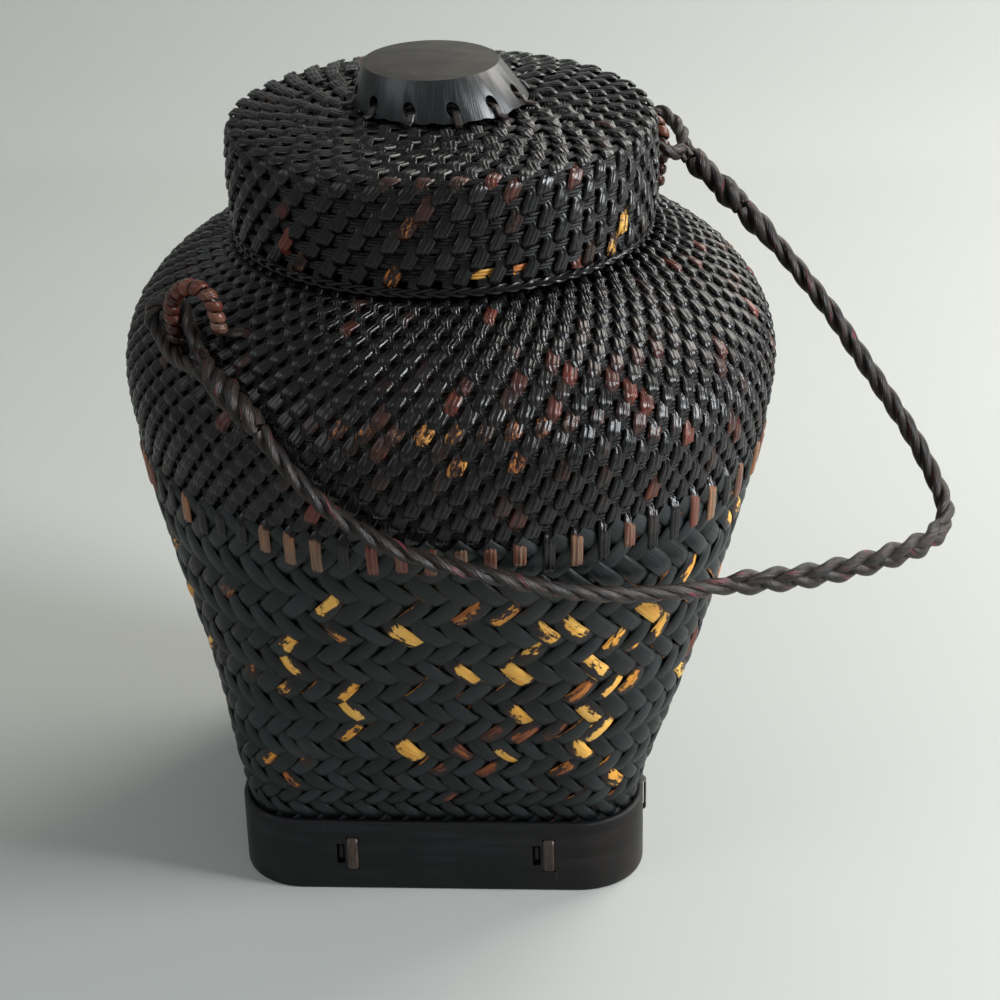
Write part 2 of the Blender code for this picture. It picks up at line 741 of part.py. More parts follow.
def ear_frame(ear):
    """Feet of an ear, its leaning upward direction and the length of its straight legs."""
    first, second, height, tilt = ear
    feet = shoulder_foot(*first), shoulder_foot(*second)
    outward = ((feet[0] + feet[1]) / 2 - Vector((NECK_SHIFT, 0, 0))) * Vector((1, 1, 0))
    up = Vector((0, 0, 1)) * math.cos(math.radians(tilt)) \
        + outward.normalized() * math.sin(math.radians(tilt))
    return feet, up, height - (feet[1] - feet[0]).length / 2


def ear_line(ear, start, count=24):
    """Centre line of the bent cane from start on one leg to the same place on the other."""
    (first, second), up, leg = ear_frame(ear)
    middle, half = (first + second) / 2, (second - first) / 2
    points = [first + up * start, first + up * leg * 0.5]
    for i in range(count + 1):
        angle = math.pi * i / count
        rise = leg + half.length * math.sin(angle)
        points.append(middle + up * rise - half * math.cos(angle))
    return points + [second + up * leg * 0.5, second + up * start]


def ear_cutter(name, ear, collection):
    """The two holes through the shoulder for an ear's legs."""
    feet, up, _ = ear_frame(ear)
    turn = up.to_track_quat("Z", "Y").to_matrix().to_4x4()
    bm = bmesh.new()
    for foot in feet:
        bmesh.ops.create_cone(bm, cap_ends=True, segments=12, radius1=EAR_CORE / 2 + GAP,
                              radius2=EAR_CORE / 2 + GAP, depth=4 * EAR_TAIL,
                              matrix=Matrix.Translation(foot) @ turn)
    return add_mesh(name, bm, None, collection)


def turn_gap(rings):
    """Least distance between an edge of the strip and the facing edge one turn on."""
    return min((rings[i][edge] - rings[j][facing]).length
               for edge, facing in ((0, 3), (3, 0))
               for i in range(len(rings) - WRAP_STEPS + 4)
               for j in range(i + WRAP_STEPS - 4, min(i + WRAP_STEPS + 5, len(rings))))


def ear_wrap(name, ear, finish, collection):
    """Split cane wound round the bent core in one run, each turn as wide as its pitch allows."""
    line = ear_line(ear, EAR_CORE / 2 + WRAP_THICKNESS + 2 * GAP)
    total = sum((q - p).length for p, q in zip(line, line[1:]))
    turns = round(total / WRAP_PITCH)
    (first, second), up, _ = ear_frame(ear)
    across = (second - first).cross(up).normalized()
    distance = EAR_CORE / 2 + GAP + WRAP_THICKNESS / 2
    count = turns * WRAP_STEPS
    path, normals = [], []
    for i in range(count + 1):
        centre, ahead = along_line(line, total * i / count)
        spin = 2 * math.pi * i / WRAP_STEPS
        normal = ahead.cross(across) * math.cos(spin) + across * math.sin(spin)
        path.append(centre + normal * distance)
        normals.append(normal)
    widths = []
    for i in range(count + 1):
        j = i if i + WRAP_STEPS <= count else i - WRAP_STEPS
        step = path[j + WRAP_STEPS] - path[j]
        heading = (path[min(i + 1, count)] - path[max(i - 1, 0)]).normalized()
        widths.append((step - heading * step.dot(heading)).length - WRAP_OPEN)
    smooth = [sum(widths[max(i - 3, 0):i + 4]) / len(widths[max(i - 3, 0):i + 4])
              for i in range(count + 1)]
    rings = strip_rings(path, normals, smooth, WRAP_THICKNESS)
    print(name, turns, "turns, least gap between turns", round(turn_gap(rings) * 1000, 2), "mm")
    return loft(name, rings, False, finish, collection)


# Rope

def rope_eye(name, eye, splice, finish, collection):
    """Loop of rope through the ear, both strand ends square to the face of the splice."""
    head, after = (Vector(p) for p in splice[0][:2])
    back = (head - after).normalized()
    face = head + back * GAP
    route = [Vector(p) for p in eye]
    apart = route[0] - route[-1]
    across = (apart - back * apart.dot(back)).normalized() * (EYE_DIAMETER / 2 + GAP)
    leads = [back * EYE_DIAMETER * share for share in (0.0, 0.6, 1.1)]
    route = [face + across + lead for lead in leads] + route
    route += [face - across + lead for lead in reversed(leads)]
    points, length = smooth_route(route, EYE_DIAMETER * 0.6)
    print(name, "length", round(length, 4))
    return tube(name, points, EYE_DIAMETER, finish, collection, 1)


def rope_splice(name, splice, finish, collection, sides=10):
    """Thick tapering stretch where the rope's end is worked back into it."""
    route, radii = splice
    count = 3 * (len(route) - 1)
    points, _ = smooth_route(route, sum((Vector(q) - Vector(p)).length
                                        for p, q in zip(route, route[1:])) / count)
    rings = []
    for i, point in enumerate(points):
        ahead = points[min(i + 1, len(points) - 1)] - points[max(i - 1, 0)]
        side = ahead.cross(Vector((0, 0, 1))).normalized()
        up = side.cross(ahead).normalized()
        place = i / (len(points) - 1) * (len(radii) - 1)
        k = min(int(place), len(radii) - 2)
        radius = radii[k] + (radii[k + 1] - radii[k]) * (place - k)
        rings.append([point + radius * (side * math.cos(a) + up * math.sin(a))
                      for a in (2 * math.pi * j / sides for j in range(sides))])
    return loft(name, rings, False, finish, collection)


def build():
    clear_scene()
    parts = new_collection("Rice basket")
    cutters = new_collection("Cutters")

    plaited = material("Smoked bamboo strip", (0.014, 0.019, 0.022), 0.55)
    twined = material("Lacquered twined bamboo", (0.012, 0.011, 0.011), 0.35)
    band = material("Bent bamboo, blackened", (0.011, 0.010, 0.011), 0.40)
    cane = material("Split cane, red brown", (0.13, 0.035, 0.020), 0.30)
    dark_cane = material("Split cane, blackened", (0.030, 0.022, 0.018), 0.40)
    shell = material("Coconut shell, polished", (0.030, 0.028, 0.025), 0.25)
    fibre = material("Palm fibre rope", (0.020, 0.015, 0.012), 0.50)

    band_piece = foot_band(band, parts)
    cut(band_piece, stitch_cutter(cutters))
    foot_stitches(dark_cane, parts)

    plaited_body(plaited, parts)
    shoulder = twined_shoulder(twined, parts)
    neck_collar(dark_cane, parts)
    neck_rim(dark_cane, parts)

    for name, ear in EARS.items():
        cut(shoulder, ear_cutter("ear_cutter_" + name, ear, cutters))
        tube("ear_core_" + name, ear_line(ear, -EAR_TAIL), EAR_CORE, dark_cane, parts, 1)
        ear_wrap("ear_wrap_" + name, ear, cane, parts)

    lid_axis = bpy.data.objects.new("lid_axis", None)
    lid_axis.location = (NECK_SHIFT, 0.0, 0.0)
    parts.objects.link(lid_axis)
    lid_cap(twined, parts, lid_axis)
    lid_border(twined, parts, lid_axis)
    knob = coconut_knob(shell, parts, lid_axis)
    cut(knob, lace_cutter(cutters, lid_axis))
    knob_laces(dark_cane, parts, lid_axis)

    points, length = smooth_route(ROPE_ROUTE, ROPE_SPACING)
    print("carrying_rope length", round(length, 4))
    tube("carrying_rope", points, ROPE_DIAMETER, fibre, parts)
    for name, splice in SPLICES.items():
        rope_splice("rope_splice_" + name, splice, fibre, parts)
        rope_eye("rope_eye_" + name, EYES[name], splice, fibre, parts)


build()
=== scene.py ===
"""Looks of the lidded rice basket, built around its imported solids.

Metres throughout, in the frame of the solids: +Z up, the front of the foot faces -Y.
The weave is made strip by strip: every strip is swept along the wall and lifted over and
under the strips that it crosses.
"""
import math

import bmesh
import bpy
import numpy as np
from mathutils import Matrix, Vector


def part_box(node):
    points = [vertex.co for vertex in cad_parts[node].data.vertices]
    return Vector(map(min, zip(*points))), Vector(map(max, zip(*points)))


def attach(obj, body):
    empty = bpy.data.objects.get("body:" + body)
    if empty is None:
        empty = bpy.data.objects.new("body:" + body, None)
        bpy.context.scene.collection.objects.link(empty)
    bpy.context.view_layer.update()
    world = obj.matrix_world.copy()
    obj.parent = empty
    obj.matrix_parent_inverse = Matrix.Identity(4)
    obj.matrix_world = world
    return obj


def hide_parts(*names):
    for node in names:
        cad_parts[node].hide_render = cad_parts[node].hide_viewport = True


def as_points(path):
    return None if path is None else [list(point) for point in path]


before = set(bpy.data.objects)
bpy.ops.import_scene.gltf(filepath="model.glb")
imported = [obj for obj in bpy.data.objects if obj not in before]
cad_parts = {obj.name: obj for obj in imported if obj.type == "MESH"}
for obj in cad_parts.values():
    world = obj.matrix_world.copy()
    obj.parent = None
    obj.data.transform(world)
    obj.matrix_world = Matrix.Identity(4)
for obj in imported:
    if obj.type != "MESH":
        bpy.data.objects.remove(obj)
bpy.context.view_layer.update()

# Sizes of the solids

FOOT_LOW, FOOT_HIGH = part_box("foot_band")
_, SHOULDER_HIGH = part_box("twined_shoulder")
COLLAR_LOW, COLLAR_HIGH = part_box("neck_collar")
CAP_LOW, CAP_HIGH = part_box("lid_cap")
BORDER_LOW, BORDER_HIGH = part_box("lid_border")
KNOB_LOW, KNOB_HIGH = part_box("coconut_knob")

GAP = 0.0003
BAND_STRIP = 0.0028
BAND_TIP = 0.0016
BAND_LAP = 0.028
BAND_LAP_START = -0.002
BAND_SCARF = 0.014
BAND_HEIGHT = FOOT_HIGH.z
BAND_HALF = -FOOT_LOW.y
BAND_CORNER = 0.0250
FOOT_SHIFT = -0.0048
NECK_SHIFT = (COLLAR_LOW.x + COLLAR_HIGH.x) / 2
WALL_FOOT = BAND_HALF - BAND_STRIP - GAP
BODY_FLOOR = 0.0062
BELLY_RADIUS = 0.1224
BELLY_HEIGHT = 0.195
SEAT_HEIGHT = SHOULDER_HIGH.z - GAP
NECK_RADIUS = (COLLAR_HIGH.x - COLLAR_LOW.x) / 2
NECK_TOP = COLLAR_HIGH.z
SEAT_RADIUS = NECK_RADIUS + 0.0065
SEAT_SLOPE = math.radians(25.0)
SEAT_RUN = 0.026
ROUND_HEIGHT = 0.176
LEAN_HEIGHT = 0.100

LID_MOUTH = (BORDER_HIGH.x - BORDER_LOW.x) / 2
LID_FOOT = CAP_LOW.z
LID_TOP = CAP_HIGH.z
LID_EDGE = 0.0055
LID_CROWN = 0.0034

KNOB_BASE = KNOB_LOW.z
KNOB_HEIGHT = KNOB_HIGH.z - KNOB_LOW.z
KNOB_BASE_RADIUS = (KNOB_HIGH.x - KNOB_LOW.x) / 2
KNOB_TOP_RADIUS = 0.0247
KNOB_SHELL = 0.0026
KNOB_LEAN = 0.0030
LACE_HOLES = 12
LACE_HOLE_DIAMETER = 0.0051
LACE_HOLE_RISE = 0.0048

STITCH_PLACES = (-0.0335, 0.0420)
STITCH_LENGTH = 0.0142
STITCH_WIDTH = 0.0042
STITCH_RAISE = 0.0007
CANE_THICKNESS = 0.0010
SLOT_WIDTH = 0.0030
SLOT_LENGTH = 0.0088
SLOT_OFFSET = 0.0046

EARS = {"left": ((-0.0909, -0.0663), (-0.0738, -0.0758), 0.0232, 9.0),
        "right": ((0.0774, 0.0600), (0.0647, 0.0737), 0.0275, 11.0)}
EAR_CORE = 0.0024
WRAP_THICKNESS = 0.0015
WRAP_PITCH = 0.0044

EYE_DIAMETER = 0.0040
ROPE_ROUTE = (
    (-0.0571, -0.1104, 0.2116), (-0.0512, -0.1151, 0.2049), (-0.0432, -0.1196, 0.1967),
    (-0.0331, -0.1230, 0.1878), (-0.0214, -0.1252, 0.1804), (-0.0097, -0.1259, 0.1742),
    (0.0037, -0.1254, 0.1690), (0.0172, -0.1236, 0.1645), (0.0306, -0.1204, 0.1592),
    (0.0442, -0.1156, 0.1536), (0.0582, -0.1095, 0.1486), (0.0742, -0.1010, 0.1440),
    (0.0912, -0.0915, 0.1405), (0.1082, -0.0815, 0.1380), (0.1298, -0.0690, 0.1338),
    (0.1452, -0.0590, 0.1315), (0.1607, -0.0480, 0.1300), (0.1769, -0.0340, 0.1287),
    (0.1857, -0.0215, 0.1290), (0.1887, -0.0110, 0.1315), (0.1870, -0.0020, 0.1360),
    (0.1828, 0.0055, 0.1432), (0.1762, 0.0120, 0.1540), (0.1645, 0.0200, 0.1701),
    (0.1542, 0.0265, 0.1840), (0.1450, 0.0320, 0.1965), (0.1296, 0.0420, 0.2134),
    (0.1202, 0.0472, 0.2228), (0.1112, 0.0518, 0.2314))
SPLICES = {
    "left": ((-0.0790, -0.0868, 0.2246), (-0.0730, -0.0949, 0.2223), (-0.0668, -0.1025, 0.2192),
             (-0.0615, -0.1070, 0.2155), (-0.0576, -0.1100, 0.2121)),
    "right": ((0.0914, 0.0608, 0.2490), (0.0970, 0.0584, 0.2440), (0.1030, 0.0558, 0.2388),
               (0.1076, 0.0536, 0.2348), (0.1109, 0.0520, 0.2317))}
EYES = {
    "left": ((-0.0813, -0.0792, 0.2270), (-0.0836, -0.0747, 0.2303), (-0.0861, -0.0690, 0.2337),
             (-0.0888, -0.0632, 0.2370), (-0.0933, -0.0604, 0.2388), (-0.0978, -0.0596, 0.2382),
             (-0.1010, -0.0590, 0.2348), (-0.1016, -0.0578, 0.2300), (-0.0998, -0.0580, 0.2262),
             (-0.0968, -0.0632, 0.2244), (-0.0934, -0.0706, 0.2232), (-0.0884, -0.0776, 0.2226)),
    "right": ((0.0842, 0.0558, 0.2522), (0.0793, 0.0541, 0.2548), (0.0756, 0.0575, 0.2552),
              (0.0736, 0.0630, 0.2540), (0.0734, 0.0692, 0.2530), (0.0742, 0.0765, 0.2550),
              (0.0756, 0.0820, 0.2584), (0.0791, 0.0840, 0.2598), (0.0834, 0.0810, 0.2580),
              (0.0873, 0.0740, 0.2552))}


# Objects and modifiers

def link_object(name, data):
    """A new object with the given data, in the scene."""
    made = bpy.data.objects.new(name, data)
    bpy.context.scene.collection.objects.link(made)
    return made


def mesh_object(name, bm):
    """A new object from a bmesh, which is freed."""
    mesh = bpy.data.meshes.new(name)
    bm.to_mesh(mesh)
    bm.free()
    return link_object(name, mesh)


def apply_modifier(piece, kind, **settings):
    """Gives the piece a modifier with its settings and applies it at once."""
    bpy.context.view_layer.objects.active = piece
    modifier = piece.modifiers.new(kind, kind)
    for name, value in settings.items():
        setattr(modifier, name, value)
    bpy.ops.object.modifier_apply(modifier=modifier.name)


def cut_out(piece, tool):
    """Cuts the tool's shape out of the piece and takes the tool away."""
    apply_modifier(piece, "BOOLEAN", object=tool, solver="EXACT")
    bpy.data.objects.remove(tool)


def smooth_by_angle(piece, degrees):
    bpy.ops.object.select_all(action="DESELECT")
    bpy.context.view_layer.objects.active = piece
    piece.select_set(True)
    bpy.ops.object.shade_smooth_by_angle(angle=math.radians(degrees))


# Camera, lamps and floor

CAMERA_PLACE = (0.0712, -0.8711, 0.5726)
CAMERA_RIGHT = (0.9985, 0.0510, -0.0219)
CAMERA_UP = (-0.0035, 0.4531, 0.8914)
FOCAL_LENGTH = 90.0
LAMP_AIM = Vector((0, 0, 0.16))
FLOOR_WIDTH = 5.0
FLOOR_DEPTH = 3.4
FLOOR_FRONT = -1.4
FLOOR_BEND = 0.75


def linear(code):
    """An sRGB hex colour as linear RGBA."""
    parts = [int(code[i:i + 2], 16) / 255 for i in (1, 3, 5)]
    return (*[c / 12.92 if c <= 0.04045 else ((c + 0.055) / 1.055) ** 2.4 for c in parts], 1.0)


def make_camera():
    """The photograph's viewpoint: a little to the right and above, looking down."""
    data = bpy.data.cameras.new("Camera")
    data.lens = FOCAL_LENGTH
    right = Vector(CAMERA_RIGHT).normalized()
    up = Vector(CAMERA_UP)
    up = (up - right * up.dot(right)).normalized()
    turn = Matrix((right, up, right.cross(up))).transposed().to_4x4()
    camera = link_object("Camera", data)
    camera.matrix_world = Matrix.Translation(CAMERA_PLACE) @ turn
    bpy.context.scene.camera = camera


def add_lamp(name, place, size, power, colour):
    """A soft rectangular lamp that looks at the middle of the basket."""
    data = bpy.data.lights.new(name, "AREA")
    data.shape = "RECTANGLE"
    data.size, data.size_y = size
    data.energy = power
    data.color = linear(colour)[:3]
    lamp = link_object(name, data)
    lamp.location = place
    lamp.rotation_euler = (LAMP_AIM - Vector(place)).to_track_quat("-Z", "Y").to_euler()


def make_light():
    """Window light from the right and behind, a low fill, and an even pale room."""
    add_lamp("Window", (0.85, 0.80, 1.00), (0.9, 0.8), 18.5, "#fffaf2")
    add_lamp("Side", (1.15, -0.25, 0.70), (0.4, 0.5), 20.0, "#f7fbff")
    add_lamp("Fill", (-0.9, -0.5, 1.1), (0.8, 0.8), 4.0, "#f2f7ff")
    world = bpy.data.worlds.new("Pale room")
    bpy.context.scene.world = world
    world.use_nodes = True
    back = world.node_tree.nodes["Background"]
    back.inputs["Color"].default_value = linear("#e4e6e4")
    back.inputs["Strength"].default_value = 0.35


def make_floor():
    """A plain pale sweep: floor in front, curving up behind the basket."""
    bpy.ops.object.select_all(action="DESELECT")
    bpy.ops.mesh.primitive_grid_add(x_subdivisions=2, y_subdivisions=60, size=1.0)
    floor = bpy.context.object
    floor.name = "floor"
    for vertex in floor.data.vertices:
        along = (vertex.co.y + 0.5) * FLOOR_DEPTH + FLOOR_FRONT
        rise = max(0.0, along - FLOOR_BEND)
        vertex.co = Vector((vertex.co.x * FLOOR_WIDTH, min(along, FLOOR_BEND + rise * 0.45),
                            min(rise * rise * 1.3, rise * 1.2)))
    for face in floor.data.polygons:
        face.use_smooth = True
    paint, tree = new_finish("Pale matt board")
    shader = tree.nodes["Principled BSDF"]
    shader.inputs["Base Color"].default_value = linear("#b8bbb7")
    shader.inputs["Roughness"].default_value = 0.85
    floor.data.materials.append(paint)


# Shader nodes

def feed(tree, socket, value):
    """Gives a socket a plain value, a link, or the first output of a node."""
    if isinstance(value, bpy.types.Node):
        value = value.outputs[0]
    if isinstance(value, bpy.types.NodeSocket):
        tree.links.new(value, socket)
    else:
        socket.default_value = value


def add_node(tree, kind, *values, **named):
    """A shader node with its settings, values and links.

    Inputs are given by place, by names that start with a capital, or as i6 for the seventh; other
    names are the node's settings, and stops are the places and hex colours of a ramp.
    """
    made = tree.nodes.new("ShaderNode" + kind)
    inputs = dict(enumerate(values))
    for name, value in named.items():
        if name == "stops":
            for i, (place, code) in enumerate(value):
                points = made.color_ramp.elements
                point = points[i] if i < 2 else points.new(place)
                point.position, point.color = place, linear(code)
        elif name[0] == "i" and name[1:].isdigit():
            inputs[int(name[1:])] = value
        elif name[0].isupper():
            inputs[name.replace("_", " ")] = value
        else:
            setattr(made, name, value)
    for place, value in inputs.items():
        feed(tree, made.inputs[place], value)
    return made


def new_finish(name):
    made = bpy.data.materials.new(name)
    made.use_nodes = True
    return made, made.node_tree


def complete(finish, colour, roughness, height, strength, distance, specular=0.5):
    """The finish, with its colour, roughness and relief given to its shader."""
    tree = finish.node_tree
    bump = add_node(tree, "Bump", Strength=strength, Distance=distance, Height=height)
    for name, value in (("Base Color", colour), ("Roughness", roughness), ("Normal", bump),
                        ("Specular IOR Level", specular)):
        feed(tree, tree.nodes["Principled BSDF"].inputs[name], value)
    return finish


def cells(*lengths):
    """Scale of a pattern with one cell in each of the given lengths in metres.

    Fibres and hairs are about 0.3 mm across in life, too fine to show, and are drawn at 0.5 to
    0.8 mm.
    """
    return tuple(1.0 / length for length in lengths) + (1.0,) * (3 - len(lengths))


def split_bamboo(name, dark, bare, roughness, fibre, relief, flake):
    """Bamboo or cane split by hand, with its fibres along the strip, then smoked or lacquered.

    The attribute finish carries how much of a float's skin is worn off to the bare bamboo, the
    hue of the bare patch and a tone of the float's own. On the ears the bare patches are painted
    highlights; along one edge of some plaited floats they are edge wear and painted highlight.
    """
    made, tree = new_finish(name)
    strip = add_node(tree, "UVMap", uv_map="strip")
    finish = add_node(tree, "Attribute", attribute_name="finish")
    worn, hue, tone = add_node(tree, "SeparateColor", finish).outputs
    grain, patch, soot = [
        add_node(tree, "TexNoise", Vector=add_node(tree, "Mapping", strip, Scale=cells(*size)),
                 Scale=1.0, Detail=detail, Roughness=rough)
        for size, detail, rough in (((fibre, fibre * 30.0), 3.0, 0.6), (flake, 6.0, 0.7),
                                    ((0.006, 0.012), 3.0, 0.6))]
    # The skin's shade: fibres, the float's own tone and clouds of soot
    own = add_node(tree, "Math", tone, 0.27, operation="SUBTRACT")
    shade = add_node(tree, "Math", grain, 0.55, own, operation="MULTIPLY_ADD")
    sooty = add_node(tree, "Math", soot, 0.5, operation="SUBTRACT")
    shade = add_node(tree, "Math", sooty, 0.5, shade, operation="MULTIPLY_ADD")
    skin = add_node(tree, "ValToRGB", shade, stops=dark)
    # Chips of bare bamboo, with a brown rim where the skin thins; on the ears these chips, with
    # their rims, are painted highlights
    level = add_node(tree, "Math", patch, worn, operation="ADD")
    chip_and_glint = add_node(tree, "MapRange", level, 0.94, 1.0, interpolation_type="SMOOTHSTEP")
    rim = add_node(tree, "MapRange", level, 0.76, 0.93, interpolation_type="SMOOTHSTEP")
    rim = add_node(tree, "Math", rim, 0.7, operation="MULTIPLY")
    skin = add_node(tree, "Mix", Factor=rim, i6=skin, i7=linear("#35180c"),
                    data_type="RGBA").outputs[2]
    streak = add_node(tree, "Math", grain, 0.5, operation="SUBTRACT")
    tint = add_node(tree, "Math", streak, 0.9, hue, operation="MULTIPLY_ADD")
    bare_and_glint_colour = add_node(tree, "ValToRGB", tint, stops=bare)
    skin = add_node(tree, "Mix", Factor=chip_and_glint, i6=skin, i7=bare_and_glint_colour, data_type="RGBA").outputs[2]
    rough = add_node(tree, "MapRange", grain, 0.3, 0.7, roughness - 0.08, roughness + 0.12)
    height = add_node(tree, "Math", chip_and_glint, -0.3, grain, operation="MULTIPLY_ADD")
    return complete(made, skin, rough, height, relief, 0.0005, 0.38)


def solid_cane(name, dark, roughness):
    """Peeled cane or bent bamboo, stained dark: its fibres show as fine specks and streaks."""
    made, tree = new_finish(name)
    place = add_node(tree, "TexCoord").outputs["Object"]
    grain, broad = [
        add_node(tree, "TexNoise", Vector=add_node(tree, "Mapping", place, Scale=cells(*size)),
                 Scale=1.0, Detail=3.0, Roughness=0.6)
        for size in ((0.0008, 0.0008, 0.004), (0.008, 0.008, 0.011))]
    fine = add_node(tree, "Math", grain, 0.4, operation="MULTIPLY")
    shade = add_node(tree, "Math", broad, 0.6, fine, operation="MULTIPLY_ADD")
    skin = add_node(tree, "ValToRGB", shade, stops=dark)
    rough = add_node(tree, "MapRange", grain, 0.3, 0.7, roughness - 0.06, roughness + 0.1)
    return complete(made, skin, rough, grain, 0.35, 0.0004)


def band_bamboo():
    """A broad bamboo strip bent while hot and blackened over smoke. Fibres run along the band, so
    the sheen is drawn out level, with fine scratches and a browner patch low on the right."""
    made, tree = new_finish("Bent bamboo, smoked black")
    strip = add_node(tree, "UVMap", uv_map="strip")
    grain, broad, smear, scratch = [
        add_node(tree, "TexNoise", Vector=add_node(tree, "Mapping", strip, Scale=cells(*size)),
                 Scale=1.0, Detail=detail, Roughness=0.6)
        for size, detail in (((0.0007, 0.045), 4.0), ((0.004, 0.060), 3.0),
                             ((0.020, 0.030), 4.0), ((0.0035, 0.0011), 2.0))]
    half = add_node(tree, "Math", broad, 0.5, operation="MULTIPLY")
    shade = add_node(tree, "Math", grain, 0.5, half, operation="MULTIPLY_ADD")
    cool = add_node(tree, "ValToRGB", shade,
                    stops=((0.30, "#060608"), (0.52, "#0e0e11"), (0.72, "#232327")))
    warm = add_node(tree, "ValToRGB", shade,
                    stops=((0.30, "#0f0b09"), (0.52, "#201814"), (0.72, "#3d2e27")))
    place = add_node(tree, "TexCoord").outputs["Object"]
    x, _, z = add_node(tree, "SeparateXYZ", place).outputs
    low_right = add_node(tree, "Math", z, -1.6, x, operation="MULTIPLY_ADD")
    low_right = add_node(tree, "MapRange", low_right, -0.02, 0.07, interpolation_type="SMOOTHSTEP")
    patchy = add_node(tree, "MapRange", smear, 0.38, 0.62, interpolation_type="SMOOTHSTEP")
    brown = add_node(tree, "Math", low_right, patchy, operation="MULTIPLY")
    skin = add_node(tree, "Mix", Factor=brown, i6=cool, i7=warm, data_type="RGBA").outputs[2]
    line = add_node(tree, "MapRange", scratch, 0.72, 0.76, interpolation_type="SMOOTHSTEP")
    faint = add_node(tree, "Math", line, 0.5, operation="MULTIPLY")
    skin = add_node(tree, "Mix", Factor=faint, i6=skin, i7=linear("#6b655f"),
                    data_type="RGBA").outputs[2]
    rough = add_node(tree, "MapRange", smear, 0.35, 0.65, 0.34, 0.52)
    return complete(made, skin, rough, shade, 0.45, 0.0006, 0.28)


def coconut_shell():
    """Coconut shell, sawn across and rubbed smooth. The sawn top is matt and warm grey with a
    turned trace; the sides keep upright fibres and a dull polish."""
    made, tree = new_finish("Coconut shell, sawn and rubbed")
    place = add_node(tree, "TexCoord").outputs["Object"]
    x, y, z = add_node(tree, "SeparateXYZ", place).outputs
    turn = add_node(tree, "Math", y, x, operation="ARCTAN2")
    wound = add_node(tree, "CombineXYZ", add_node(tree, "Math", turn, 0.030, operation="MULTIPLY"),
                     z, 0.0)
    level = add_node(tree, "CombineXYZ", x, y, 0.0)
    ring = add_node(tree, "VectorMath", level, operation="LENGTH").outputs["Value"]
    rings = add_node(tree, "CombineXYZ", ring, 0.0, 0.0)
    streak, broad, trace, cloud = [
        add_node(tree, "TexNoise", Vector=add_node(tree, "Mapping", where, Scale=cells(*size)),
                 Scale=1.0, Detail=detail, Roughness=0.6)
        for where, size, detail in ((wound, (0.0007, 0.012), 4.0), (wound, (0.006, 0.040), 3.0),
                                    (rings, (0.0006, 1.0), 3.0),
                                    (place, (0.010, 0.006, 0.010), 4.0))]
    half = add_node(tree, "Math", broad, 0.5, operation="MULTIPLY")
    shade = add_node(tree, "Math", streak, 0.5, half, operation="MULTIPLY_ADD")
    side = add_node(tree, "ValToRGB", shade, stops=((0.28, "#0c0d0e"), (0.50, "#171a1c"),
                                                    (0.66, "#2a3032"), (0.80, "#434b4e")))
    clouds = add_node(tree, "Math", cloud, 0.7, operation="MULTIPLY")
    face = add_node(tree, "Math", trace, 0.3, clouds, operation="MULTIPLY_ADD")
    top = add_node(tree, "ValToRGB", face,
                   stops=((0.30, "#1f1d19"), (0.50, "#312e29"), (0.70, "#433f39")))
    normal = add_node(tree, "NewGeometry").outputs["Normal"]
    facing = add_node(tree, "SeparateXYZ", normal).outputs[2]
    flat = add_node(tree, "MapRange", facing, 0.80, 0.96, interpolation_type="SMOOTHSTEP")
    skin = add_node(tree, "Mix", Factor=flat, i6=side, i7=top, data_type="RGBA").outputs[2]
    rough = add_node(tree, "MapRange", flat, 0.0, 1.0, 0.34, 0.62)
    height = add_node(tree, "Mix", Factor=flat, i2=shade, i3=face, data_type="FLOAT")
    return complete(made, skin, rough, height, 0.35, 0.0006)


def palm_fibre():
    """Sugar palm fibre laid into strands: coarse, nearly black hairs with a few red ones."""
    made, tree = new_finish("Palm fibre rope, laid")
    strip = add_node(tree, "UVMap", uv_map="strip")
    hair, broad, patch = [
        add_node(tree, "TexNoise", Vector=add_node(tree, "Mapping", strip, Scale=cells(*size)),
                 Scale=1.0, Detail=detail, Roughness=0.6)
        for size, detail in (((0.00055, 0.014), 3.0), ((0.003, 0.020), 3.0),
                             ((0.0022, 0.012), 2.0))]
    rest = add_node(tree, "Math", broad, 0.35, operation="MULTIPLY")
    shade = add_node(tree, "Math", hair, 0.65, rest, operation="MULTIPLY_ADD")
    skin = add_node(tree, "ValToRGB", shade, stops=((0.33, "#080605"), (0.50, "#1a1411"),
                                                    (0.62, "#3f3229"), (0.78, "#8a7460")))
    red = add_node(tree, "MapRange", patch, 0.62, 0.68, interpolation_type="SMOOTHSTEP")
    red = add_node(tree, "Math", red, 0.8, operation="MULTIPLY")
    skin = add_node(tree, "Mix", Factor=red, i6=skin, i7=linear("#782c38"),
                    data_type="RGBA").outputs[2]
    return complete(made, skin, 0.36, hair, 1.0, 0.0007, 0.45)


def inside_plait():
    """The basket's inner layer: broad split bamboo plaited straight up and down, over one and under
    one, smoked brown."""
    made, tree = new_finish("Split bamboo lining, smoked")
    grid = add_node(tree, "UVMap", uv_map="strip")
    check = add_node(tree, "TexChecker", Vector=grid, Scale=1.0 / 0.008).outputs["Fac"]
    up, level = [
        add_node(tree, "TexNoise", Vector=add_node(tree, "Mapping", grid, Scale=cells(*size)),
                 Scale=1.0, Detail=3.0, Roughness=0.6)
        for size in ((0.0006, 0.02), (0.02, 0.0006))]
    grain = add_node(tree, "Mix", Factor=check, i2=up, i3=level, data_type="FLOAT")
    skin = add_node(tree, "ValToRGB", grain,
                    stops=((0.32, "#17100b"), (0.52, "#33241a"), (0.72, "#57412e")))
    return complete(made, skin, 0.6, grain, 0.6, 0.0006)


# Strips swept along a line

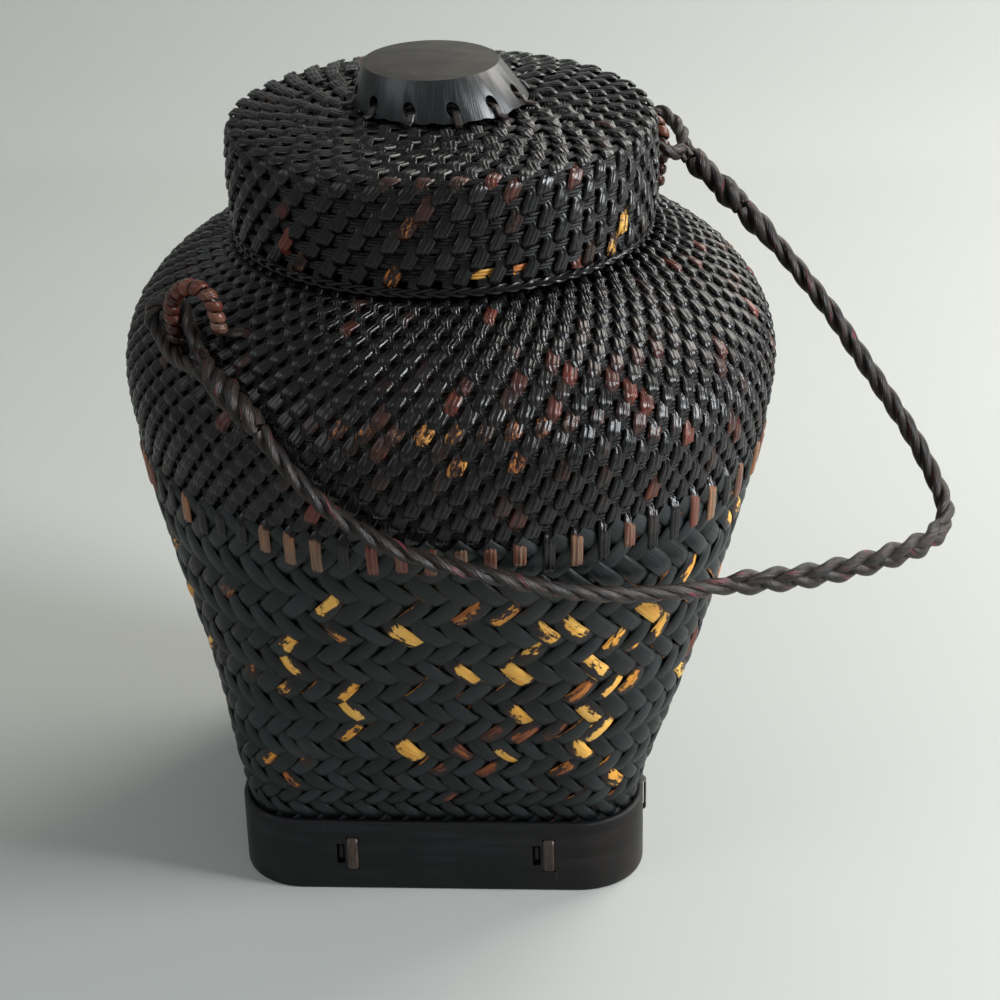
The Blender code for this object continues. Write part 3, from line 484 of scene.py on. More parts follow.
FLAT_STRIP = ((-0.5, -0.22), (-0.34, -0.5), (0.34, -0.5), (0.5, -0.22), (0.43, 0.16), (0.24, 0.44),
              (0.0, 0.54), (-0.24, 0.44), (-0.43, 0.16))
CANE_STRIP = ((-0.5, -0.3), (0.0, -0.5), (0.5, -0.3), (0.44, 0.18), (0.22, 0.45), (0.0, 0.5),
              (-0.22, 0.45), (-0.44, 0.18))
STAKE_STRIP = ((-0.5, -0.45), (0.0, -0.6), (0.5, -0.45), (0.47, 0.12), (0.37, 0.56), (0.25, 0.60),
               (0.15, 0.42), (0.06, 0.80), (-0.06, 0.82), (-0.15, 0.44), (-0.25, 0.62),
               (-0.37, 0.56), (-0.47, 0.10))
FINE_STRIP = ((-0.5, 0.0), (0.0, -0.5), (0.5, 0.0), (0.0, 0.5))
ROUND_STRAND = tuple((0.5 * math.cos(math.pi * i / 5), 0.5 * math.sin(math.pi * i / 5))
                     for i in range(10))


def smooth_step(value):
    value = np.clip(value, 0.0, 1.0)
    return value * value * (3.0 - 2.0 * value)


def unit(vectors):
    return vectors / np.linalg.norm(vectors, axis=-1, keepdims=True)


def sweep(centre, normal, width, thickness, section):
    """Points of many strips at once, from centre lines and outward directions."""
    ahead = unit(np.gradient(centre, axis=1))
    side = unit(np.cross(ahead, normal))
    up = np.cross(side, ahead)
    shape = np.array(section)
    broad = np.broadcast_to(width, centre.shape[:2])[:, :, None, None] * shape[:, 0][:, None]
    deep = np.broadcast_to(thickness, centre.shape[:2])[:, :, None, None] * shape[:, 1][:, None]
    return centre[:, :, None, :] + side[:, :, None, :] * broad + up[:, :, None, :] * deep


def run_along(centre):
    """Length along each centre line at each of its stations."""
    steps = np.linalg.norm(np.diff(centre, axis=1), axis=2)
    return np.concatenate([np.zeros((len(centre), 1)), np.cumsum(steps, axis=1)], 1)


# Steps of the UV from strip to strip, and the finish of strips that are all alike
UV_ASIDE = 0.0371
UV_AHEAD = 0.517
PLAIN = (0.0, 0.5, 0.5)
SHARP_ANGLE = math.radians(60)
LID_NODES = ("lid_cap", "lid_border", "coconut_knob")


def settle(piece, nodes):
    """Puts a piece in the place of its solids, on their body."""
    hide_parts(*nodes)
    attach(piece, "lid" if nodes[0] in LID_NODES else "basket")
    return piece


def strips_object(name, points, width, run, finish, material, nodes, closed=False):
    """One mesh of many swept strips, with their UV in metres, in the place of its solids.

    The finish is given for each station, or for each point round each station's section.
    """
    strips, stations, ring, _ = points.shape
    index = np.arange(strips * stations * ring).reshape(strips, stations, ring)
    first = index if closed else index[:, :-1]
    second = np.roll(index, -1, 1) if closed else index[:, 1:]
    quads = np.stack([first, second, np.roll(second, -1, 2), np.roll(first, -1, 2)], -1)
    ends = [] if closed else index[:, 0].tolist() + index[:, -1, ::-1].tolist()
    mesh = bpy.data.meshes.new(name)
    mesh.from_pydata(points.reshape(-1, 3).tolist(), [], quads.reshape(-1, 4).tolist() + ends)
    number = np.arange(strips)[:, None, None]
    width, run = (np.broadcast_to(a, (strips, stations))[:, :, None] for a in (width, run))
    uv = np.stack(np.broadcast_arrays(width * np.linspace(0, 1, ring) + number * UV_ASIDE,
                                      run + UV_AHEAD * number), -1)
    loops = np.zeros(len(mesh.loops), int)
    mesh.loops.foreach_get("vertex_index", loops)
    layer = mesh.uv_layers.new(name="strip")
    layer.data.foreach_set("uv", uv.reshape(-1, 2)[loops].astype(np.float32).ravel())
    colour = np.ones((strips, stations, ring, 4), np.float32)
    if np.ndim(finish) < 4:
        finish = np.broadcast_to(finish, (strips, stations, 3))[:, :, None, :]
    colour[..., :3] = finish
    mesh.color_attributes.new("finish", "FLOAT_COLOR", "POINT").data.foreach_set(
        "color", colour.ravel())
    mesh.polygons.foreach_set("use_smooth", np.ones(len(mesh.polygons), bool))
    mesh.set_sharp_from_angle(angle=SHARP_ANGLE)
    mesh.materials.append(material)
    return settle(link_object(name, mesh), nodes)


def swept_strips(name, centre, normal, width, thickness, section, finish, material, nodes,
                 closed=False, skin=None):
    """Strips swept along their centre lines, as one piece. The skin is the width of their UV."""
    run = run_along(centre)
    if closed:
        centre, normal = (np.concatenate([a[:, -1:], a, a[:, :1]], 1) for a in (centre, normal))
    shape = sweep(centre, normal, width, thickness, section)
    return strips_object(name, shape[:, 1:-1] if closed else shape, width if skin is None else skin,
                         run, finish, material, nodes, closed)


def smooth_route(route, spacing):
    """Evenly spaced points on a smooth curve through the route, and the length at each."""
    route = [np.array(p, float) for p in route]
    route = [2 * route[0] - route[1]] + route + [2 * route[-1] - route[-2]]
    t = np.arange(12)[:, None] / 12
    fine = [0.5 * (2 * p1 + (p2 - p0) * t + (2 * p0 - 5 * p1 + 4 * p2 - p3) * t * t
                   + (3 * p1 - p0 - 3 * p2 + p3) * t ** 3)
            for p0, p1, p2, p3 in zip(route, route[1:], route[2:], route[3:])]
    fine = np.concatenate(fine + [route[-2][None]])
    run = run_along(fine[None])[0]
    places = np.linspace(0, run[-1], max(2, round(run[-1] / spacing)) + 1)
    return np.stack([np.interp(places, run, fine[:, k]) for k in range(3)], 1), places


# Rope

LAY_LENGTH = 0.031
SPLICE_LAY = 0.024
ROPE_SPACING = 0.0011
# The hand's grip: its run along the rope, the length it opens over, and its plait
GRIP = (0.186, 0.303)
GRIP_BLEND = 0.012
GRIP_PERIOD = 0.040
GRIP_HALF_HEIGHT = 0.0030
GRIP_HALF_WIDTH = 0.0013
# Radius of the rope by the share of its length: fuller to the right, with the last tuck's lump
ROPE_RADII = ((0.0, 0.0033), (0.03, 0.0029), (0.35, 0.0029), (0.60, 0.0033), (0.962, 0.0034),
              (0.982, 0.0047), (1.0, 0.0038))
SPLICE_RADII = {"left": ((0.0, 0.0044), (0.2, 0.0040), (0.45, 0.0052), (0.62, 0.0043),
                         (0.80, 0.0047), (1.0, 0.0033)),
                "right": ((0.0, 0.0042), (0.16, 0.0048), (0.42, 0.0036), (0.72, 0.0051),
                          (1.0, 0.0038))}
EYE_RADIUS = 0.0027


def laid_rope(name, route, radius, material, nodes, lay=LAY_LENGTH, grip=None):
    """Three strands laid round each other along a route. The grip is opened and plaited flat."""
    points, run = smooth_route(route, ROPE_SPACING)
    ahead = unit(np.gradient(points, axis=0))
    side = np.zeros_like(points)
    side[0] = np.cross(ahead[0], (0.2, 0.1, 1.0))
    for i in range(1, len(points)):
        side[i] = side[i - 1] - ahead[i] * side[i - 1].dot(ahead[i])
    side = unit(side)
    up = np.cross(ahead, side)
    size = np.interp(run / run[-1], *np.array(radius).T)
    opened = np.zeros(len(run))
    if grip:
        opened = smooth_step((run - grip[0]) / GRIP_BLEND) \
            * smooth_step((grip[1] - run) / GRIP_BLEND)
    flat = unit(np.cross(ahead, (0.0, 0.0, 1.0)))
    lift = np.cross(flat, ahead)
    centre, outward = [], []
    for strand in range(3):
        angle = 2 * math.pi * (run / lay + strand / 3)
        wound = side * np.cos(angle)[:, None] + up * np.sin(angle)[:, None]
        cross = 2 * math.pi * (run / GRIP_PERIOD + strand / 3)
        braid = (lift * (np.sin(cross) * GRIP_HALF_HEIGHT)[:, None]
                 + flat * (np.sin(2 * cross) * GRIP_HALF_WIDTH)[:, None])
        centre.append(points + wound * (size * 0.53 * (1 - opened))[:, None]
                      + braid * opened[:, None])
        outward.append(wound)
    width = size * (1.12 + 0.20 * opened)
    return swept_strips(name, np.array(centre), np.array(outward), width, width, ROUND_STRAND,
                        PLAIN, material, nodes, skin=width * 3.0), points


def frays(material):
    """Loose ends of fibre that stand out of the left splice."""
    rng = np.random.default_rng(12)
    t = np.linspace(0.0, 1.0, 14)[None, :, None]
    start = np.array(SPLICES["left"][3]) + rng.normal(0, 0.0022, (8, 1, 3))
    toward = np.array((-0.5, -0.55, 0.2)) + rng.normal(0, 0.35, (8, 1, 3))
    length = rng.uniform(0.006, 0.012, (8, 1, 1))
    centre = start + length * (toward * t + np.array((0.0, 0.0, -0.5)) * t * t)
    thick = 0.0007 * (1.0 - 0.7 * t[..., 0])
    return swept_strips("splice_frays", centre, np.broadcast_to((0.3, -0.6, 0.74), centre.shape),
                        thick, thick, ROUND_STRAND[::2], PLAIN, material, ("rope_splice_left",),
                        skin=0.002)


def make_rope():
    """The carrying rope from splice to splice, the two splices, and the eyes through the ears."""
    fibre = palm_fibre()
    rope, path = laid_rope("rope_strands", ROPE_ROUTE, ROPE_RADII, fibre,
                           ("carrying_rope",), grip=GRIP)
    others = [frays(fibre)]
    for side in ("left", "right"):
        route = SPLICES[side]
        splice, _ = laid_rope("splice_strands_" + side, route, SPLICE_RADII[side], fibre,
                              ("rope_splice_" + side,), lay=SPLICE_LAY)
        head, after = (Vector(p) for p in route[:2])
        back = (head - after).normalized()
        face = head + back * GAP
        eye = [Vector(p) for p in EYES[side]]
        apart = eye[0] - eye[-1]
        across = (apart - back * apart.dot(back)).normalized() * (EYE_DIAMETER / 2 + GAP)
        leads = [back * EYE_DIAMETER * share for share in (0.0, 0.6, 1.1)]
        whole = [face + across + lead for lead in leads] + eye
        whole += [face - across + lead for lead in reversed(leads)]
        loop, _ = laid_rope("eye_strands_" + side, whole, ((0.0, EYE_RADIUS), (1.0, EYE_RADIUS)),
                            fibre, ("rope_eye_" + side,), lay=SPLICE_LAY)
        others += [splice, loop]
    length = float(np.linalg.norm(np.diff(path, axis=0), axis=1).sum())
    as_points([tuple(p) for p in path[:-6:10]] + [tuple(path[-1])])


# Surface of the wall, by the share of the way round and the run down the profile

def bezier(p0, p1, p2, p3, count):
    t = np.linspace(0.0, 1.0, count)[:, None]
    p0, p1, p2, p3 = (np.array(p, float) for p in (p0, p1, p2, p3))
    return (1 - t) ** 3 * p0 + 3 * (1 - t) ** 2 * t * p1 + 3 * (1 - t) * t * t * p2 + t ** 3 * p3


SEAT_LEAD = SEAT_RADIUS - NECK_RADIUS - 0.0004


def body_profile():
    """Half width and height from the neck, over the lid's seat, to the floor inside the band."""
    seat, belly, foot = ((SEAT_RADIUS, SEAT_HEIGHT), (BELLY_RADIUS, BELLY_HEIGHT),
                         (WALL_FOOT, BAND_HEIGHT))
    top = bezier(seat, (seat[0] + SEAT_RUN * math.cos(SEAT_SLOPE),
                        seat[1] - SEAT_RUN * math.sin(SEAT_SLOPE)),
                 (belly[0], belly[1] + 0.024), belly, 160)
    flare = bezier(belly, (belly[0], belly[1] - 0.030), (foot[0] + 0.27 * 0.095, foot[1] + 0.095),
                   foot, 260)
    return np.concatenate([[(SEAT_RADIUS - SEAT_LEAD, SEAT_HEIGHT)], top, flare[1:],
                           [(WALL_FOOT, BODY_FLOOR)]])


def lid_profile():
    """Radius and height of the lid from under the knob, over the crown and edge, to its foot."""
    shoulder = LID_TOP - LID_CROWN
    seat = KNOB_BASE_RADIUS + 0.0028
    side = LID_MOUTH + 0.0005
    corner = (side - LID_EDGE, shoulder - LID_EDGE)
    crown = (corner[0] - seat) / 3
    top = bezier((seat, LID_TOP), (seat + crown, LID_TOP), (corner[0] - crown, shoulder + 0.0022),
                 (corner[0], shoulder), 60)
    angle = np.linspace(math.pi / 2, 0.0, 24)
    edge = np.stack([corner[0] + LID_EDGE * np.cos(angle), corner[1] + LID_EDGE * np.sin(angle)], 1)
    drop = (corner[1] - LID_FOOT) / 3
    wall = bezier((side, corner[1]), (side + 0.001, corner[1] - drop),
                  (LID_MOUTH + 0.001, LID_FOOT + drop), (LID_MOUTH, LID_FOOT), 50)
    return np.concatenate([[(0.024, LID_TOP)], top, edge[1:], wall[1:]])


def rounded_square(half, corner, count):
    """Points and outward directions round a rounded square, starting at the front's middle."""
    flat, bend = half - corner, corner * math.pi / 2
    side = 2 * flat + bend
    turn, along = np.divmod(4 * side * np.arange(count) / count, side)
    angle = np.clip((along - flat) / corner, 0.0, math.pi / 2)
    x = np.where(along < flat, along, flat + corner * np.sin(angle))
    y = np.where(along > flat + bend, along - 2 * flat - bend, -flat - corner * np.cos(angle))
    nx, ny = np.sin(angle), -np.cos(angle)
    c, s = np.cos(turn * math.pi / 2), np.sin(turn * math.pi / 2)
    return (np.stack([x * c - y * s, x * s + y * c], 1),
            np.stack([nx * c - ny * s, nx * s + ny * c], 1), 4 * side)


def wall_lean(height):
    """How far the middle of the body stands aside at a height."""
    if height <= BELLY_HEIGHT:
        return FOOT_SHIFT * (1 - smooth_step((height - BAND_HEIGHT) / (LEAN_HEIGHT - BAND_HEIGHT)))
    return NECK_SHIFT * smooth_step((height - BELLY_HEIGHT) / (SEAT_HEIGHT - BELLY_HEIGHT))


def body_section(half, height, around):
    """Rounded square at the foot, a circle above, starting at the middle of the front."""
    square = (BAND_CORNER - BAND_STRIP - GAP) / WALL_FOOT
    share = square + (1 - square) * min(max((height - BAND_HEIGHT)
                                            / (ROUND_HEIGHT - BAND_HEIGHT), 0.0), 1.0)
    points, _, _ = rounded_square(half, half * share, around)
    return np.column_stack([points[:, 0] + wall_lean(height), points[:, 1],
                            np.full(around, height)])


def circle_section(middle):
    def section(radius, height, around):
        angle = 2 * math.pi * np.arange(around) / around - math.pi / 2
        return np.stack([radius * np.cos(angle) + middle, radius * np.sin(angle),
                         np.full(around, height)], 1)
    return section


SURFACE_STEP = 0.0008
SURFACE_COLUMNS = 720


class Surface:
    """A wall sampled by u, the share of the way round, and d, the run down its profile.

    The run starts at zero after the first stretch of the profile, whose length is the lead.
    """

    def __init__(self, profile, section, lead=0.0):
        run = np.concatenate([[0.0], np.cumsum(np.hypot(*np.diff(profile, axis=0).T))]) - lead
        self.length, self.lead = run[-1], lead
        self.d = np.arange(-lead, self.length + SURFACE_STEP, SURFACE_STEP)
        half, height = (np.interp(self.d, run, profile[:, k]) for k in range(2))
        self.points = np.stack([section(a, z, SURFACE_COLUMNS) for a, z in zip(half, height)])
        round_way = np.roll(self.points, -1, 1) - np.roll(self.points, 1, 1)
        down = np.gradient(self.points, axis=0)
        down[-1] = down[-3]
        self.normals = unit(np.cross(down, round_way))
        self.girth = np.linalg.norm(np.roll(self.points, -1, 1) - self.points, axis=2).sum(1)

    def at(self, u, d):
        """Points and outward normals for arrays of u and d."""
        rows, columns = self.points.shape[:2]
        u, d = np.broadcast_arrays(np.asarray(u, float), np.asarray(d, float))
        x = (u % 1.0) * columns
        y = np.clip((d + self.lead) / SURFACE_STEP, 0.0, rows - 1.001)
        i, j = y.astype(int), x.astype(int)
        fy, fx = (y - i)[..., None], (x - j)[..., None]
        j, k = j % columns, (j + 1) % columns

        def between(grid):
            return ((grid[i, j] * (1 - fx) + grid[i, k] * fx) * (1 - fy)
                    + (grid[i + 1, j] * (1 - fx) + grid[i + 1, k] * fx) * fy)
        return between(self.points), unit(between(self.normals))

    def round_at(self, d):
        return np.interp(d, self.d, self.girth)

    def share_at(self, degrees, d):
        """Share of the way round of a direction seen from the middle of the wall."""
        row = self.points[min(int((d + self.lead) / SURFACE_STEP), len(self.points) - 1)]
        away = row - row.mean(0)
        angle = (np.arctan2(away[:, 1], away[:, 0]) + math.pi / 2) % (2 * math.pi)
        angle[0] = 0.0
        wanted = (math.radians(degrees) + math.pi / 2) % (2 * math.pi)
        return float(np.interp(wanted, angle, np.arange(len(row)) / len(row)))


# Plaited body: two families of strips, over two and under two

PLAIT_COUNT = 68
PLAIT_WIDTH = 0.0070
PLAIT_THICKNESS = 0.0013
PLAIT_LIFT = 0.00068
PLAIT_DEPTH = 0.0014
PLAIT_TOP = 0.093
PLAIT_SPACING = 0.0018
CHANCE_MARKS = 62
FLOOR_STRIP = 0.0066
FLOOR_PITCH = 0.0071
FLOOR_STATIONS = 72
LINING_COLUMNS = 144
LINING_GIRTH = 0.62
# Depth below the weave and height over the floor of the lining's outer and inner wall
LINING_WALLS = ((0.0038, 0.0032), (0.0047, 0.0042))
# Crossings counted up from the band against the run down, tighter towards the foot
PLAIT_ROWS = ((0.086, 27.9), (0.11625, 22.5), (0.13875, 18.5), (0.1595, 14.5), (0.18125, 10.5),
              (0.203, 6.5), (0.222, 2.5), (0.2375, -1.5), (0.262, -7.5))
# Floats rubbed down to the bamboo: direction, run down in mm, family, how much, and hue
WORN_FLOATS = (
    (-107, 122, 1, 0.55, 0.15), (-115, 140, 1, 0.55, 0.2), (-108.5, 135, -1, 0.45, 0.5),
    (-98, 140, -1, 0.6, 0.1), (-133, 134, 1, 0.45, 0.6), (-124, 152, -1, 0.62, 0.15),
    (-127, 161, 1, 0.42, 0.6), (-126, 177, 1, 0.45, 0.3), (-111, 166, 1, 0.55, 0.25),
    (-112.4, 176, -1, 0.68, 0.12), (-111, 192, 1, 0.5, 0.35), (-125, 205, 1, 0.55, 0.45),
    (-120, 205, 1, 0.42, 0.4), (-99.6, 203, -1, 0.65, 0.18), (-84.5, 129, 1, 0.55, 0.55),
    (-79.4, 127, 1, 0.5, 0.4), (-86.7, 161, -1, 0.55, 0.15), (-75.2, 160, -1, 0.66, 0.15),
    (-71.6, 137, -1, 0.5, 0.2), (-65.4, 136, -1, 0.52, 0.1), (-67, 143, 1, 0.48, 0.15),
    (-48.6, 137, -1, 0.66, 0.2), (-52.5, 145, 1, 0.5, 0.3), (-45.8, 144, 1, 0.5, 0.2),
    (-60.4, 156, -1, 0.55, 0.15), (-55.3, 159, 1, 0.45, 0.3), (-61.5, 170, 1, 0.55, 0.6),
    (-55.3, 166, 1, 0.58, 0.15), (-50.9, 171, 1, 0.46, 0.4), (-72.7, 184, -1, 0.55, 0.25),
    (-60.9, 182, -1, 0.58, 0.12), (-69.3, 192, 1, 0.55, 0.75), (-54.2, 190, 1, 0.56, 0.1),
    (-82.2, 197, 1, 0.5, 0.9), (-85.6, 206, -1, 0.5, 0.85), (-69.9, 207, -1, 0.6, 0.2),
    (-60.4, 201, -1, 0.58, 0.15), (-60.4, 214, 1, 0.48, 0.6), (-79.4, 217, 1, 0.58, 0.75),
    (-86.7, 225, 1, 0.5, 0.95), (-46.9, 221, -1, 0.52, 0.3), (-40, 122, 1, 0.56, 0.4),
    (-36, 122, 1, 0.5, 0.3), (-38.5, 176, -1, 0.52, 0.05), (-128.7, 217, -1, 0.5, 0.6),
    (-92, 219, 1, 0.42, 0.8), (-64, 188, 1, 0.42, 0.8))
SEEN = (-138.0, -32.0)


def plait_row(d):
    places, rows = np.array(PLAIT_ROWS).T
    return np.interp(d, places, rows)


def plaited_strips(surface, hand, rng, material):
    """All the strips that climb to the right (hand 1) or to the left (hand -1)."""
    d = np.arange(PLAIT_TOP, surface.length, PLAIT_SPACING)
    row = plait_row(d)
    drift = rng.normal(0, 0.05, (PLAIT_COUNT, 1))
    u = (np.arange(PLAIT_COUNT)[:, None] + hand * row / 2 + drift) / PLAIT_COUNT
    point, normal = surface.at(u, d)
    wave = hand * np.cos(2 * math.pi * (row - 0.5) / 4)
    lift = PLAIT_LIFT * np.clip(1.7 * wave, -1.0, 1.0) + 0.0006 * np.clip(wave, 0.0, 1.0)
    lift = lift + rng.normal(0, 0.00012, (PLAIT_COUNT, 1))
    centre = point + normal * (lift - PLAIT_DEPTH)[..., None]
    pitch = surface.round_at(d) / PLAIT_COUNT
    slant = np.arctan2(2 * np.gradient(d) / -np.gradient(row), pitch)
    width = np.minimum(PLAIT_WIDTH, 0.955 * np.sin(slant) * pitch)
    width = width * (1 + rng.normal(0, 0.055, (PLAIT_COUNT, 1)))
    width = width * (0.90 + 0.10 * smooth_step((wave + 0.9) / 0.9))
    own = 0.5 if hand > 0 else 2.5
    cell = np.round((row - own) / 4).astype(int)
    cell = cell - cell.min()
    tone = rng.random((PLAIT_COUNT, cell.max() + 1))
    across = np.array(FLAT_STRIP)[:, 0]
    finish = np.zeros((PLAIT_COUNT, len(d), len(across), 3))
    finish[..., 2] = (0.14 + 0.56 * tone[:, cell])[..., None]
    # Bare bamboo along one edge of some floats: edge wear, and a painted highlight along that edge
    rubbed = (rng.random(tone.shape)[:, cell] < 0.16)[..., None]
    finish[..., 0] = rubbed * (np.clip(5.0 * across - 1.35, 0.0, 1.0) * 0.46)
    finish[..., 1] = rubbed * 0.52
    marks = [mark for mark in WORN_FLOATS if mark[2] == hand]
    for _ in range(CHANCE_MARKS):
        degrees = rng.uniform(SEEN[1], SEEN[0] + 360)
        marks.append((degrees, rng.uniform(115, 230), hand, rng.uniform(0.4, 0.66),
                      rng.choice((0.12, 0.2, 0.35, 0.6, 0.9))))
    for degrees, drop, _, share, hue in marks:
        place = plait_row(drop / 1000)
        middle = 4 * round((place - own) / 4) + own
        number = surface.share_at(degrees, drop / 1000) * PLAIT_COUNT - hand * place / 2
        number = round(number) % PLAIT_COUNT
        aim = 0.55 * middle + 0.45 * place
        near = smooth_step(2.1 * (1.0 - np.abs(row - aim) / 1.25)) * share
        lean = rng.choice((-1.0, 1.0)) * rng.uniform(0.4, 1.9)
        near = near[:, None] * np.clip(0.92 + lean * across, 0.35, 1.0)
        finish[number, ..., 0] = np.maximum(finish[number, ..., 0], near)
        finish[number, np.abs(row - middle) < 2, :, 1] = hue
    return swept_strips("plaited_strips_" + ("right" if hand > 0 else "left"), centre, normal,
                        width, PLAIT_THICKNESS, FLAT_STRIP, finish, material, ("plaited_body",))


def floor_strips(material, rng):
    """Straight strips both ways under the basket, over two and under two, inside the band."""
    reach = WALL_FOOT - 0.001
    corner = BAND_CORNER - BAND_STRIP
    count = int(2 * reach / FLOOR_PITCH)
    for turn, name in ((0, "floor_strips_long"), (1, "floor_strips_cross")):
        centre = []
        for i in range(count):
            offset = (i - (count - 1) / 2) * FLOOR_PITCH
            inset = max(0.0, abs(offset) - (reach - corner))
            half = reach - corner + math.sqrt(max(corner ** 2 - inset ** 2, 0.0)) - 0.001
            t = np.linspace(-half, half, FLOOR_STATIONS)
            phase = 2 * math.pi * (t / FLOOR_PITCH / 4 + (i / 4 if turn else -i / 4))
            lift = 0.0006 * np.clip(1.6 * np.cos(phase + (0 if turn else math.pi)), -1, 1)
            x, y = (offset + 0 * t, t) if turn else (t, offset + 0 * t)
            centre.append(np.stack([x + FOOT_SHIFT, y, BODY_FLOOR + 0.0014 - lift], 1))
        centre = np.array(centre)
        finish = np.zeros((count, FLOOR_STATIONS, 3))
        finish[..., 2] = 0.2 + 0.5 * rng.random((count, 1))
        swept_strips(name, centre, np.broadcast_to((0.0, 0.0, -1.0), centre.shape), FLOOR_STRIP,
                     PLAIT_THICKNESS, FLAT_STRIP, finish, material, ("plaited_body",))


def double_wall(name, walls, capped, place_of, material, nodes):
    """A closed skin from an outer and an inner wall of rings, capped at their first ring (0) or
    last (-1) and joined at the other. place_of gives a corner's UV from its point, ring and
    column; a cap's corners have no ring."""
    bm = bmesh.new()
    layer = bm.loops.layers.uv.new("strip")
    outer, inner = ([[bm.verts.new(p) for p in ring] for ring in wall] for wall in walls)
    count = len(outer[0])

    def face(corners):
        new = bm.faces.new([vertex for vertex, _, _ in corners])
        new.smooth = True
        for loop, (vertex, i, j) in zip(new.loops, corners):
            loop[layer].uv = place_of(vertex.co, i, j)
    for wall, turn in ((outer, 1), (inner, -1)):
        for i in range(len(wall) - 1):
            for j in range(count):
                places = ((i, j), (i + 1, j), (i + 1, j + 1), (i, j + 1))
                face([(wall[a][b % count], a, b) for a, b in places][::turn])
        face([(vertex, None, None) for vertex in wall[capped]][::-turn if capped else turn])
    rim = -1 - capped
    for j in range(count):
        places = ((inner, j), (outer, j), (outer, j + 1), (inner, j + 1))
        face([(wall[rim][b % count], rim, b) for wall, b in places][::1 if capped else -1])
    skin = mesh_object(name, bm)
    skin.data.materials.append(material)
    settle(skin, nodes)


def lining(surface, material):
    """The plain inner layer that backs the weave: a cup from the neck's foot to the floor."""
    d = np.append(np.arange(0.004, surface.length - 0.004, 0.006), surface.length - 0.002)
    walls = []
    for depth, floor in LINING_WALLS:
        rows = []
        for one in d:
            point, normal = surface.at(np.arange(LINING_COLUMNS) / LINING_COLUMNS, one)
            rows.append(point - normal * depth)
        middle = rows[-1].mean(0)
        rows[-1][:, 2] = BODY_FLOOR + floor
        for share in (0.66, 0.3):
            rows.append(middle + (rows[-1] - middle) * share)
            rows[-1][:, 2] = BODY_FLOOR + floor
        walls.append(rows)
    runs = [*d, surface.length + 0.02, surface.length + 0.05]

    def place_of(co, i, j):
        return (co.x, co.y) if i is None else (j / LINING_COLUMNS * LINING_GIRTH, -runs[i])
    double_wall("inner_lining", walls, -1, place_of, material, ("plaited_body", "twined_shoulder"))


# Fine weave of the shoulder, neck and lid: flat stakes with wefts of three fibres

WEAVE_PERIOD = 0.01125
WEAVE_START = 0.050
WEAVE_DEPTH = 0.0016
WEFT_DEPTH = 0.0023
STAKE_LIFT = 0.00075
STAKE_THICKNESS = 0.0009
WEFT_WIDTH = 0.00125
WEFT_THICKNESS = 0.00085
WEFT_LIFT = 0.00035
STAKE_SPACING = 0.0013
# Height at which a stake's cut end lies over the plait, and how deep it is then tucked in
TAIL_LIFT = 0.0021
TAIL_TUCK = 0.0042
SHOULDER_STAKES = 146
SHOULDER_END = 0.0965
SHOULDER_TAIL = 0.0135
# Floats worn bare: run down the wall, then number of the stake from the front, how much, and hue
SHOULDER_MARKS = (
    (0.0500, ((-10, 0.25, 0.9), (-8, 0.42, 0.4), (-6, 0.5, 0.15), (-4, 0.52, 0.2), (-2, 0.5, 0.4),
              (0, 0.6, 0.05), (2, 0.5, 0.1), (4, 0.42, 0.5), (6, 0.52, 0.2), (8, 0.5, 0.3),
              (10, 0.5, 0.45), (12, 0.42, 0.7), (14, 0.4, 0.6), (16, 0.45, 0.5))),
    (0.06125, ((2, 0.55, 0.1), (6, 0.55, 0.2), (16, 0.45, 0.3))),
    (0.0556, ((-5, 0.4, 0.95), (-3, 0.4, 0.9), (1, 0.4, 0.9))),
    (0.0669, ((9, 0.45, 0.95),)),
    (0.0331, ((3, 0.5, 0.75), (-3, 0.4, 0.6), (-1, 0.35, 0.6))))


